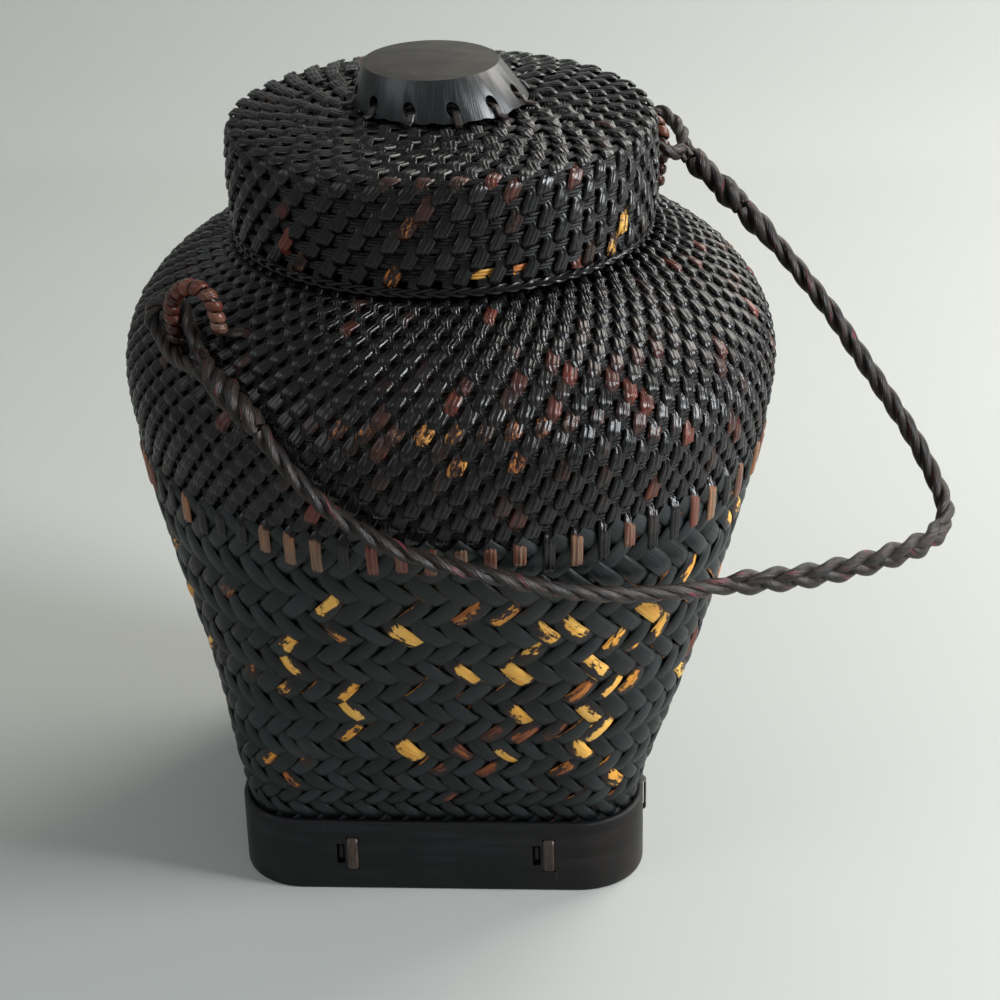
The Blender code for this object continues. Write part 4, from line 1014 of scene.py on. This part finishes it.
def stake_set(name, surface, total, numbers, start, end, origin, rng, material, nodes,
              marks=(), tail=0.0, widest=0.0057, fill=1.12, ruddy=None, lift=STAKE_LIFT,
              period=WEAVE_PERIOD, pinch=0.52, thick=STAKE_THICKNESS, sway=0.0011):
    """Flat stakes that run down the wall, each over a weft and under the next.

    A float rises from under the weft above, leans to the left and stands proudest at its end.
    """
    d = np.arange(start, end + tail, STAKE_SPACING)
    numbers = np.array(list(numbers))
    count = len(numbers)
    column = numbers[:, None]
    wave = (d - origin) / period + column % 2 * 0.5
    phase = 2 * math.pi * wave
    risen = np.clip(1.9 * np.cos(phase) + 0.95, -1.0, 1.0)
    proud = np.clip(risen, 0.0, 1.0) * np.sin(phase)
    over = smooth_step((d - end + 0.005) / 0.004) if tail else np.zeros(len(d))
    height = lift * (risen + np.minimum(risen, 0.0) * 0.5 + 0.8 * proud)
    height = height * (1 + rng.normal(0, 0.06, (count, 1)))
    height = height * (1 - over) + TAIL_LIFT * over
    pitch = surface.round_at(d) / total
    aside = -sway * np.sin(phase) * (1 - over) + rng.normal(0, 0.00008, (count, 1))
    point, normal = surface.at((column + aside / pitch) / total, d)
    centre = point + normal * (height - WEAVE_DEPTH)[..., None]
    width = np.minimum(widest, fill * pitch) * (1 + rng.normal(0, 0.03, (count, 1)))
    risen = risen * (1 - over) + over
    width = width * (pinch + (1 - pinch) * smooth_step((risen + 1.0) / 1.3)) * (1 - 0.2 * over)
    thickness = np.full((count, len(d)), thick)
    if tail:
        cut = rng.uniform(0.55, 0.98, (count, 1)) * tail
        left = smooth_step((end + cut - d) / STAKE_SPACING)
        thickness = thickness * (0.1 + 0.9 * left)
        width = width * (0.75 + 0.25 * left)
        centre = centre - normal * (TAIL_TUCK * (1 - left))[..., None]
    cell = np.round(wave).astype(int)
    tone = rng.random((count, cell.max() - cell.min() + 1))
    at_cell = (np.arange(count)[:, None], cell - cell.min())
    finish = np.zeros((count, len(d), 3))
    finish[..., 2] = 0.18 + 0.42 * tone[at_cell]
    finish[..., 0] = over * np.where(rng.random((count, 1)) < 0.6, 0.66, 0.0)
    finish[..., 1] = rng.uniform(0.5, 0.78, (count, 1))
    if ruddy is not None:
        red = rng.random(tone.shape)[at_cell]
        home = origin + (cell - column % 2 * 0.5) * period
        finish[..., 2] += np.where(red < ruddy(column / total, home), 0.34, 0.0)
    for number, drop, share, hue in marks:
        if number not in numbers:
            continue
        at = int(np.where(numbers == number)[0][0])
        near = smooth_step(2.4 - 2.4 * np.abs(d - drop) / (period * 0.5)) * share
        hit = near > finish[at, :, 0]
        finish[at, hit, 0] = near[hit]
        finish[at, hit, 1] = hue
    return swept_strips(name, centre, normal, width, thickness, STAKE_STRIP, finish, material,
                        nodes)


def weft_set(name, surface, total, rows, origin, rng, material, nodes, period=WEAVE_PERIOD,
             bare=()):
    """Rings of three fibres that pass in and out between the stakes, bare in a few places."""
    around = total * 4
    u = np.arange(around) / around
    d, height, finish = [], [], []
    for k in rows:
        for fibre in (-1, 0, 1):
            wander = np.resize(rng.normal(0, 0.00007, around // 8).repeat(8), around)
            d.append(origin + k * period / 2 + fibre * WEFT_WIDTH * 0.98 + wander)
            wave = np.cos(math.pi * u * total) * (-1 if k % 2 == 0 else 1)
            height.append(WEFT_LIFT * np.clip(1.35 * wave, -1, 1))
            colour = np.zeros((around, 3))
            colour[:, 2] = 0.05 + 0.30 * np.resize(rng.random(total // 2).repeat(8), around)
            for row, share, reach, hue in bare:
                if row == k:
                    near = np.abs((u - share + 0.5) % 1.0 - 0.5) < reach
                    colour[near, :2] = (0.62, hue)
            finish.append(colour)
    point, normal = surface.at(u, np.array(d))
    centre = point + normal * (np.array(height) - WEFT_DEPTH)[..., None]
    return swept_strips(name, centre, normal, WEFT_WIDTH, WEFT_THICKNESS, FINE_STRIP,
                        np.array(finish), material, nodes, closed=True)


FINE_BARE = ((0.0, "#dba94e"), (0.35, "#b8692a"), (0.6, "#76614f"), (0.85, "#682a20"),
             (1.0, "#4a1815"))


def fine_bamboo():
    """Lacquer leaves the floats nearly black and glossy, red brown where it is thin, and gold where
    it is rubbed off. The red brown floats gathered on the body's lit front right are painted
    highlight."""
    return split_bamboo(
        "Fine split bamboo, lacquered",
        ((0.10, "#060607"), (0.42, "#0f0f10"), (0.66, "#1e1c1b"), (0.84, "#40231d"),
         (1.0, "#6e3428")),
        FINE_BARE, 0.22, 0.0007, 0.6, (0.0011, 0.0042))


def weft_bamboo():
    """Weft fibres left as they were split: rougher and duller than the lacquered floats."""
    return split_bamboo(
        "Fine split bamboo, unpolished",
        ((0.10, "#040405"), (0.50, "#0b0a0a"), (1.0, "#1b1817")),
        FINE_BARE, 0.55, 0.0005, 0.5, (0.0011, 0.0042))


def make_body():
    """The plaited and the woven part of the body, with the finishes of its fine weave."""
    wall = Surface(body_profile(), body_section, SEAT_LEAD)
    rng = np.random.default_rng(21)
    # Smoke leaves the strips matt and blue black, with brown clouds and rubbed spots of gold
    plaited = split_bamboo(
        "Split bamboo, smoked over the hearth",
        ((0.12, "#06090a"), (0.45, "#0f1416"), (0.72, "#1f2527"), (0.92, "#3b332e")),
        ((0.0, "#fcc968"), (0.3, "#eda63c"), (0.6, "#ad6229"), (0.85, "#67301d"), (1.0, "#442116")),
        0.42, 0.0006, 0.45, (0.0015, 0.0062))
    for hand in (1, -1):
        plaited_strips(wall, hand, rng, plaited)
    floor_strips(plaited, rng)
    lining(wall, inside_plait())
    fine, weft = fine_bamboo(), weft_bamboo()
    marks = [(number, drop, share, hue) for drop, floats in SHOULDER_MARKS
             for number, share, hue in floats]
    for _ in range(34):
        number = int(rng.integers(24, 120))
        row = int(rng.integers(-2, 4))
        marks.append((number, WEAVE_START + (row + (number % 2) * 0.5) * WEAVE_PERIOD,
                      rng.uniform(0.35, 0.55), rng.choice((0.1, 0.25, 0.5, 0.9))))
    marks = [(number % SHOULDER_STAKES, drop, 0.78 * share, min(1.0, hue + 0.15))
             for number, drop, share, hue in marks]

    # More floats are red brown towards the lit front right, round the upper shoulder: the lacquer's
    # own red brown, gathered there as painted highlight
    def ruddy(share, d):
        towards = np.cos(2 * math.pi * (share - 0.13))
        return 0.04 + 0.30 * np.clip(towards, 0, 1) * np.exp(-((d - 0.050) / 0.034) ** 2)
    for odd, name, tail in ((0, "shoulder_stakes_even", SHOULDER_TAIL),
                            (1, "shoulder_stakes_odd", 0.0)):
        stake_set(name, wall, SHOULDER_STAKES, range(odd, SHOULDER_STAKES, 2), -SEAT_LEAD,
                  SHOULDER_END, WEAVE_START, rng, fine, ("twined_shoulder",), marks, tail,
                  ruddy=ruddy)
    for name, rows in (("shoulder_wefts", range(-9, 0)), ("belly_wefts", range(0, 9))):
        weft_set(name, wall, SHOULDER_STAKES, rows, WEAVE_START, rng, weft, ("twined_shoulder",))
    return fine, weft


NECK_WEAVE_START = 0.003
NECK_LINING_GAP = 0.0021
NECK_LINING_THICKNESS = 0.0009


def make_neck(fine, weft):
    """The woven neck under the lid, on the same stakes, round a plain bent strip."""
    radius, nodes = NECK_RADIUS + 0.0004, ("neck_collar",)
    neck = Surface(np.array([(radius, NECK_TOP - 0.0006), (radius, COLLAR_LOW.z + 0.002)]),
                   circle_section(NECK_SHIFT))
    rng = np.random.default_rng(5)
    stake_set("neck_stakes", neck, SHOULDER_STAKES, range(SHOULDER_STAKES), 0.0, neck.length,
              NECK_WEAVE_START, rng, fine, nodes, fill=0.88, lift=0.0004)
    weft_set("neck_wefts", neck, SHOULDER_STAKES, range(0, 8), NECK_WEAVE_START, rng, weft, nodes)
    outer = NECK_RADIUS - NECK_LINING_GAP
    bpy.ops.object.select_all(action="DESELECT")
    bpy.ops.mesh.primitive_cylinder_add(vertices=96, radius=outer, depth=NECK_TOP - COLLAR_LOW.z,
                                        end_fill_type="NOTHING",
                                        location=(NECK_SHIFT, 0, (COLLAR_LOW.z + NECK_TOP) / 2))
    ring = bpy.context.object
    ring.name = "neck_lining"
    bpy.ops.object.transform_apply(location=True, rotation=True, scale=True)
    apply_modifier(ring, "SOLIDIFY", thickness=NECK_LINING_THICKNESS, offset=-1)
    apply_modifier(ring, "BEVEL", width=NECK_LINING_THICKNESS * 0.3, segments=2,
                   limit_method="ANGLE")
    uv = ring.data.uv_layers[0]
    uv.name = "strip"
    for loop in ring.data.loops:
        co = ring.data.vertices[loop.vertex_index].co
        uv.data[loop.index].uv = (co.z, math.atan2(co.y, co.x) * outer)
    ring.data.materials.append(fine)
    smooth_by_angle(ring, 40)
    settle(ring, nodes)


LID_INNER_STAKES = 40
LID_PERIOD = 0.0122
LID_SPLIT = 0.0285
LID_STAKE_THICKNESS = 0.0007
LID_SKIN_DEPTHS = (0.0030, 0.0037)
LID_SKIN_COLUMNS = 96
EDGE_TURNS = 78
EDGE_INSET = 0.0016
EDGE_RAISE = 0.0006
EDGE_SPREAD = 0.00075
# Floats worn bare: number of the stake, rows up from the edge, how much, and hue
LID_MARKS = ((78, 0, 0.42, 0.35), (72, 0, 0.36, 0.5), (79, 1, 0.42, 0.3), (13, 0, 0.50, 0.0),
             (12, 0, 0.42, 0.05), (10, 0, 0.35, 0.2), (0, 3, 0.4, 0.9), (2, 3, 0.4, 0.95),
             (5, 1, 0.35, 0.95), (71, 1, 0.4, 0.95))


def make_lid(fine, weft):
    """The lid's cap: radial stakes that double on the crown, over the edge and down the side."""
    lid = Surface(lid_profile(), circle_section(NECK_SHIFT))
    rng = np.random.default_rng(8)
    origin = lid.length - 0.0050
    total = 2 * LID_INNER_STAKES
    nodes = ("lid_cap",)

    def ruddy(share, d):
        front = np.cos(2 * math.pi * (share - 0.06))
        return 0.03 + 0.80 * np.clip(front, 0, 1) ** 2 * np.exp(-((d - 0.0535) / 0.007) ** 2)
    marks = []
    for number in range(total):
        if rng.random() < 0.10:
            row = int(rng.integers(0, 3)) + (number % 2) * 0.5
            marks.append((number, origin - LID_PERIOD * row, rng.uniform(0.2, 0.42),
                          rng.choice((0.3, 0.6, 0.95))))
    for number, row, share, hue in LID_MARKS:
        marks.append((number, origin - LID_PERIOD * (row + 0.5 * (number % 2)), share, hue))
    for odd, name in ((0, "lid_stakes_even"), (1, "lid_stakes_odd")):
        stake_set(name, lid, total, range(odd, total, 2), LID_SPLIT, lid.length, origin, rng, fine,
                  nodes, marks, widest=0.0052, ruddy=ruddy, period=LID_PERIOD, pinch=0.80,
                  thick=LID_STAKE_THICKNESS, sway=0.0014)
    stake_set("lid_crown_stakes", lid, LID_INNER_STAKES, range(LID_INNER_STAKES), 0.0,
              LID_SPLIT + 0.003, origin, rng, fine, nodes, fill=0.90, period=LID_PERIOD,
              pinch=0.70, thick=LID_STAKE_THICKNESS)
    steps = int(round((origin - LID_SPLIT) / (LID_PERIOD / 2)))
    inner = int(origin / (LID_PERIOD / 2))
    weft_set("lid_side_wefts", lid, total, range(-steps, 1), origin, rng, weft, nodes,
             period=LID_PERIOD, bare=((0, 0.040, 0.010, 0.1), (0, 0.066, 0.006, 0.35)))
    weft_set("lid_crown_wefts", lid, LID_INNER_STAKES, range(-inner, -steps), origin, rng, weft,
             nodes, period=LID_PERIOD)
    # The closed inner skin, seen between the strips and from below
    rows = [lid.at(np.arange(LID_SKIN_COLUMNS) / LID_SKIN_COLUMNS, d)
            for d in np.append(np.arange(0.0, lid.length - 0.002, 0.004), lid.length)]
    double_wall("lid_backing", [[p - n * depth for p, n in rows] for depth in LID_SKIN_DEPTHS], 0,
                lambda co, i, j: (math.hypot(co.x, co.y) - co.z, math.atan2(co.y, co.x) * 0.07),
                fine, nodes)
    lid_edge(fine)


def lid_edge(fine):
    """Two rows of twined cane that finish the lid's lower edge."""
    middle = (BORDER_LOW.z + LID_FOOT) / 2 + EDGE_RAISE
    angle = 2 * math.pi * np.arange(EDGE_TURNS * 10) / (EDGE_TURNS * 10)
    around = np.stack([np.cos(angle), np.sin(angle), 0 * angle], 1)
    centre = []
    for row in (-1, 1):
        for strand in (0, 1):
            phase = row * EDGE_TURNS * angle / 2 + math.pi * strand
            place = around * (LID_MOUTH - EDGE_INSET + EDGE_SPREAD * np.cos(phase))[:, None]
            place[:, 0] += NECK_SHIFT
            place[:, 2] = middle + row * EDGE_SPREAD + 0.0005 * np.sin(phase)
            centre.append(place)
    swept_strips("lid_twined_edge", np.array(centre), np.array([around] * 4), 0.0013, 0.0011,
                 ROUND_STRAND[::2], (0.0, 0.3, 0.45), fine, ("lid_border",), closed=True)


# Knob

LIP_WEAR = 0.0016
# Laces pull the holes a little longer than wide
HOLE_STRETCH = (1.12, 0.92, 1.0)


def make_knob():
    """A coconut shell, its top sawn flat: a cone hollowed from below, holed, worn at its lip."""
    bpy.ops.object.select_all(action="DESELECT")
    bpy.ops.mesh.primitive_cone_add(vertices=192, radius1=KNOB_BASE_RADIUS,
                                    radius2=KNOB_TOP_RADIUS, depth=KNOB_HEIGHT,
                                    end_fill_type="NGON",
                                    location=(0, 0, KNOB_BASE + KNOB_HEIGHT / 2))
    knob = bpy.context.object
    knob.name = "coconut_shell_knob"
    bpy.ops.object.transform_apply(location=True, rotation=True, scale=True)
    bpy.ops.object.mode_set(mode="EDIT")
    bpy.ops.mesh.select_mode(type="FACE")
    bm = bmesh.from_edit_mesh(knob.data)
    for face in bm.faces:
        face.select_set(face.normal.z < -0.9)
    bmesh.update_edit_mesh(knob.data)
    bpy.ops.mesh.inset(thickness=KNOB_SHELL)
    bpy.ops.mesh.extrude_region_move(TRANSFORM_OT_translate={
        "value": (0, 0, KNOB_HEIGHT - KNOB_SHELL)})
    narrow = (KNOB_TOP_RADIUS - KNOB_SHELL) / (KNOB_BASE_RADIUS - KNOB_SHELL)
    bpy.ops.transform.resize(value=(narrow, narrow, 1.0))
    bpy.ops.object.mode_set(mode="OBJECT")
    inward = KNOB_BASE_RADIUS - KNOB_TOP_RADIUS
    slant = math.atan2(inward, KNOB_HEIGHT)
    radius = KNOB_BASE_RADIUS - inward * LACE_HOLE_RISE / KNOB_HEIGHT
    for i in range(LACE_HOLES):
        turn = 2 * math.pi * (i + 0.5) / LACE_HOLES
        bpy.ops.object.select_all(action="DESELECT")
        bpy.ops.mesh.primitive_cylinder_add(
            vertices=24, radius=LACE_HOLE_DIAMETER / 2, depth=4 * KNOB_SHELL,
            location=(radius * math.cos(turn), radius * math.sin(turn),
                      KNOB_BASE + LACE_HOLE_RISE),
            rotation=(0, math.pi / 2 - slant, turn))
        drill = bpy.context.object
        drill.scale = HOLE_STRETCH
        cut_out(knob, drill)
    for vertex in knob.data.vertices:
        co = vertex.co
        co.x -= KNOB_LEAN * (co.z - KNOB_BASE) / KNOB_HEIGHT
        turn = math.atan2(co.y, co.x)
        low = max(0.0, 1.0 - (co.z - KNOB_BASE) / LIP_WEAR)
        wear = 0.5 + 0.5 * math.cos(LACE_HOLES * turn)
        co.z += low * (0.0007 * wear + 0.00025 * math.sin(31 * turn) + 0.0002)
        bow = math.sin(math.pi * min(max((co.z - KNOB_BASE) / KNOB_HEIGHT, 0.0), 1.0))
        if math.hypot(co.x, co.y) > KNOB_TOP_RADIUS - 0.002 and co.z > KNOB_BASE + 0.002:
            scale = 1.0 + 0.010 * bow + 0.002 * math.sin(3 * turn) * bow
            co.x, co.y = co.x * scale, co.y * scale
        co.x += NECK_SHIFT
    apply_modifier(knob, "BEVEL", width=0.0005, segments=2, limit_method="ANGLE",
                   angle_limit=math.radians(38))
    smooth_by_angle(knob, 35)
    knob.data.materials.append(coconut_shell())
    settle(knob, ("coconut_knob",))


# Foot

PASS_REACH = 0.0043
PASS_WIDTH = 0.0022
PASS_THICKNESS = 0.0008
BAND_STATIONS = 360
# Depth in thicknesses and height of the band's outline
BAND_SECTION = ((0.0, 0.0012), (0.0, 0.0300), (-0.08, 0.0306), (-0.3, 0.0310), (-0.7, 0.0310),
                (-0.92, 0.0306), (-1.0, 0.0300), (-1.0, 0.0010), (-0.9, 0.0002), (-0.7, 0.0),
                (-0.3, 0.0), (-0.1, 0.0003))


def band_slots(cane):
    """Blocks in the places of the slots and of the holes for the stitches' legs, and the second
    pass of each stitch's cane, which is seen through its slot."""
    bm = bmesh.new()
    climb = np.linspace(-PASS_REACH, PASS_REACH, 11)
    deep = 0.0012 + 0.0022 * (climb / PASS_REACH) ** 4
    up = Vector((0, 0, 1))
    legs = (STITCH_LENGTH - CANE_THICKNESS) / 2
    holes = [(-SLOT_OFFSET, 0.0, SLOT_WIDTH, SLOT_LENGTH)]
    holes += [(0.0, rise, STITCH_WIDTH + 2 * GAP, CANE_THICKNESS + 2 * GAP)
              for rise in (-legs, legs)]
    passes, outward = [], []
    for turn in range(4):
        quarter = Matrix.Rotation(turn * math.pi / 2, 4, "Z")
        side, out = quarter @ Vector((1, 0, 0)), quarter @ Vector((0, -1, 0))
        for spot in STITCH_PLACES:
            middle = quarter @ Vector((spot, -BAND_HALF, BAND_HEIGHT / 2 + STITCH_RAISE))
            middle.x += FOOT_SHIFT
            slot = np.array(middle - side * SLOT_OFFSET)
            passes.append(slot - np.outer(deep, out) + np.outer(climb, up))
            outward.append(np.tile(np.array(out), (len(climb), 1)))
            for sideways, rise, broad, tall in holes:
                box = Matrix((side, -out, up)).transposed().to_4x4()
                box.translation = middle + side * sideways + up * rise
                bmesh.ops.create_cube(bm, size=1.0, matrix=box @ Matrix.Diagonal(
                    (broad, 3 * BAND_STRIP, tall, 1.0)))
    tucks = swept_strips("stitch_second_passes", np.array(passes), np.array(outward), PASS_WIDTH,
                         PASS_THICKNESS, CANE_STRIP, (0.0, 0.5, 0.62), cane, ("foot_band",))
    return mesh_object("slot_cutter", bm)


def make_band(cane):
    """The bent strip, wound once round and lapped over its own start on the left."""
    points, normals, perimeter = rounded_square(BAND_HALF, BAND_CORNER, 2400)
    start = 0.75 * perimeter - BAND_LAP_START
    total = perimeter + BAND_LAP
    along = total * np.arange(BAND_STATIONS + 1) / BAND_STATIONS
    place = ((start + along) / perimeter % 1.0 * len(points)).astype(int) % len(points)
    taper = np.minimum(smooth_step(along / BAND_SCARF), smooth_step((total - along) / BAND_SCARF))
    thickness = BAND_TIP + (BAND_STRIP - BAND_TIP) * taper
    climb = smooth_step((along - perimeter + BAND_SCARF) / BAND_SCARF) * (GAP + thickness)
    swell = 0.00022 * np.sin(along / 0.031) + 0.00012 * np.sin(along / 0.011)
    shape = np.zeros((1, len(along), len(BAND_SECTION), 3))
    for k, (deep, rise) in enumerate(BAND_SECTION):
        offset = climb + deep * thickness
        shape[0, :, k, :2] = points[place] + normals[place] * offset[:, None]
        shape[0, :, k, 0] += FOOT_SHIFT
        shape[0, :, k, 2] = rise + ((0.6 * swell - 0.0002) if rise > 0.02 else 0.0)
    band = strips_object("foot_band_strip", shape[:, :, ::-1], 0.062, along[None, :],
                         (0.0, 0.0, 0.0), band_bamboo(), ("foot_band",))
    cut_out(band, band_slots(cane))
    smooth_by_angle(band, 40)


# Ears

WRAP_STEPS = 28
EAR_TAIL = ((0.0040, -0.0008, 0.0038), (0.0080, -0.0016, 0.0042), (0.0112, -0.0024, 0.0028))


def ear_frame(ear, profile):
    """Feet of an ear on the shoulder, its leaning upward direction and its legs' length."""
    first, second, height, tilt = ear
    feet = []
    for x, y in (first, second):
        z = SEAT_HEIGHT
        for _ in range(4):
            z = float(np.interp(math.hypot(x - wall_lean(z), y), profile[:, 0], profile[:, 1]))
        feet.append(Vector((x, y, z)))
    outward = ((feet[0] + feet[1]) / 2 - Vector((NECK_SHIFT, 0, 0))) * Vector((1, 1, 0))
    tilt = math.radians(tilt)
    up = Vector((0, 0, 1)) * math.cos(tilt) + outward.normalized() * math.sin(tilt)
    return feet, up, height - (feet[1] - feet[0]).length / 2


def make_ear(side, material):
    """Flat split cane wound edge to edge round the bent core."""
    feet, up, leg = ear_frame(EARS[side], body_profile()[1:161])
    middle, half = (feet[0] + feet[1]) / 2, (feet[1] - feet[0]) / 2
    begin = EAR_CORE / 2 + WRAP_THICKNESS + 2 * GAP
    line = [feet[0] + up * begin, feet[0] + up * leg * 0.5]
    for i in range(25):
        angle = math.pi * i / 24
        line.append(middle + up * (leg + half.length * math.sin(angle)) - half * math.cos(angle))
    line += [feet[1] + up * leg * 0.5, feet[1] + up * begin]
    line = np.array([tuple(p) for p in line])
    run = run_along(line[None])[0]
    turns = round(run[-1] / WRAP_PITCH)
    steps = np.arange(turns * WRAP_STEPS + 1)
    place = run[-1] * steps / steps[-1]
    centre = np.stack([np.interp(place, run, line[:, k]) for k in range(3)], 1)
    ahead = unit(np.gradient(centre, axis=0))
    across = np.array((feet[1] - feet[0]).cross(up).normalized())
    spin = 2 * math.pi * steps / WRAP_STEPS
    normal = np.cross(ahead, across) * np.cos(spin)[:, None] + across * np.sin(spin)[:, None]
    path = centre + normal * (EAR_CORE / 2 + GAP + WRAP_THICKNESS / 2)
    bend = np.interp(place, run, np.concatenate([[0, 0], np.ones(25), [0, 0]]))
    width = WRAP_PITCH * 0.86 * (1 + 0.16 * bend * (normal @ np.array(up)))
    rng = np.random.default_rng(3 if side == "left" else 4)
    turn = np.minimum(steps // WRAP_STEPS, turns)
    finish = np.zeros((1, len(steps), 3))
    finish[0, :, 2] = 0.22 + 0.40 * place / run[-1] + 0.34 * rng.random(turns + 1)[turn]
    # Chips of cream bare cane, an amount for each turn: painted highlights
    finish[0, :, 0] = 0.16 + 0.22 * rng.random(turns + 1)[turn]
    finish[0, :, 1] = 0.4
    nodes = ("ear_wrap_" + side,)
    swept_strips("ear_winding_" + side, path[None], normal[None], width[None], WRAP_THICKNESS,
                 CANE_STRIP, finish, material, nodes)
    if side == "left":
        foot = np.array(feet[1])
        tail, _ = smooth_route([foot + np.array(up) * 0.005] + [foot + step for step in EAR_TAIL],
                               0.0006)
        outward = np.broadcast_to((-0.35, -0.45, 0.82), tail.shape)
        swept_strips("ear_tail_left", tail[None], outward[None], 0.0040, 0.0010, CANE_STRIP,
                     (0.0, 0.6, 0.16), material, nodes)


def make_ears():
    """Both ears, in glossy red brown cane that darkens and pales from turn to turn, with cream
    chips that are painted highlights.
    """
    # The cream end of the bare ramp colours the ears' painted highlights
    cane = split_bamboo(
        "Split cane, red brown",
        ((0.12, "#170d0a"), (0.40, "#3a1a13"), (0.66, "#6b3a2b"), (0.95, "#8d7463")),
        ((0.0, "#cda588"), (0.5, "#a0704f"), (1.0, "#6f3526")), 0.22, 0.0005, 0.7,
        (0.0012, 0.0030))
    for side in ("left", "right"):
        make_ear(side, cane)


# Solids that stay as they are

def dress_solids():
    """Stain leaves the rim and cores dull black, and the laces' dull black is painted shade. Wear
    leaves the flat stitches brown.
    """
    black = solid_cane("Round cane, stained black",
                       ((0.30, "#120e0c"), (0.50, "#231a16"), (0.75, "#43322a")), 0.42)
    brown = solid_cane("Flat cane, worn brown",
                       ((0.30, "#1c1512"), (0.50, "#3a2c25"), (0.66, "#5d4a3f"),
                        (0.80, "#7b5b4c")), 0.45)
    for name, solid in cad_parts.items():
        solid.data.materials.clear()
        # On the knob's laces this dull black is painted shade
        solid.data.materials.append(brown if name.startswith("foot_stitch") else black)


make_camera()
make_rope()
make_light()
make_floor()
weave_finishes = make_body()
make_neck(*weave_finishes)
make_lid(*weave_finishes)
make_knob()
make_band(weave_finishes[1])
make_ears()
dress_solids()
bpy.context.scene.view_settings.view_transform = "Standard"
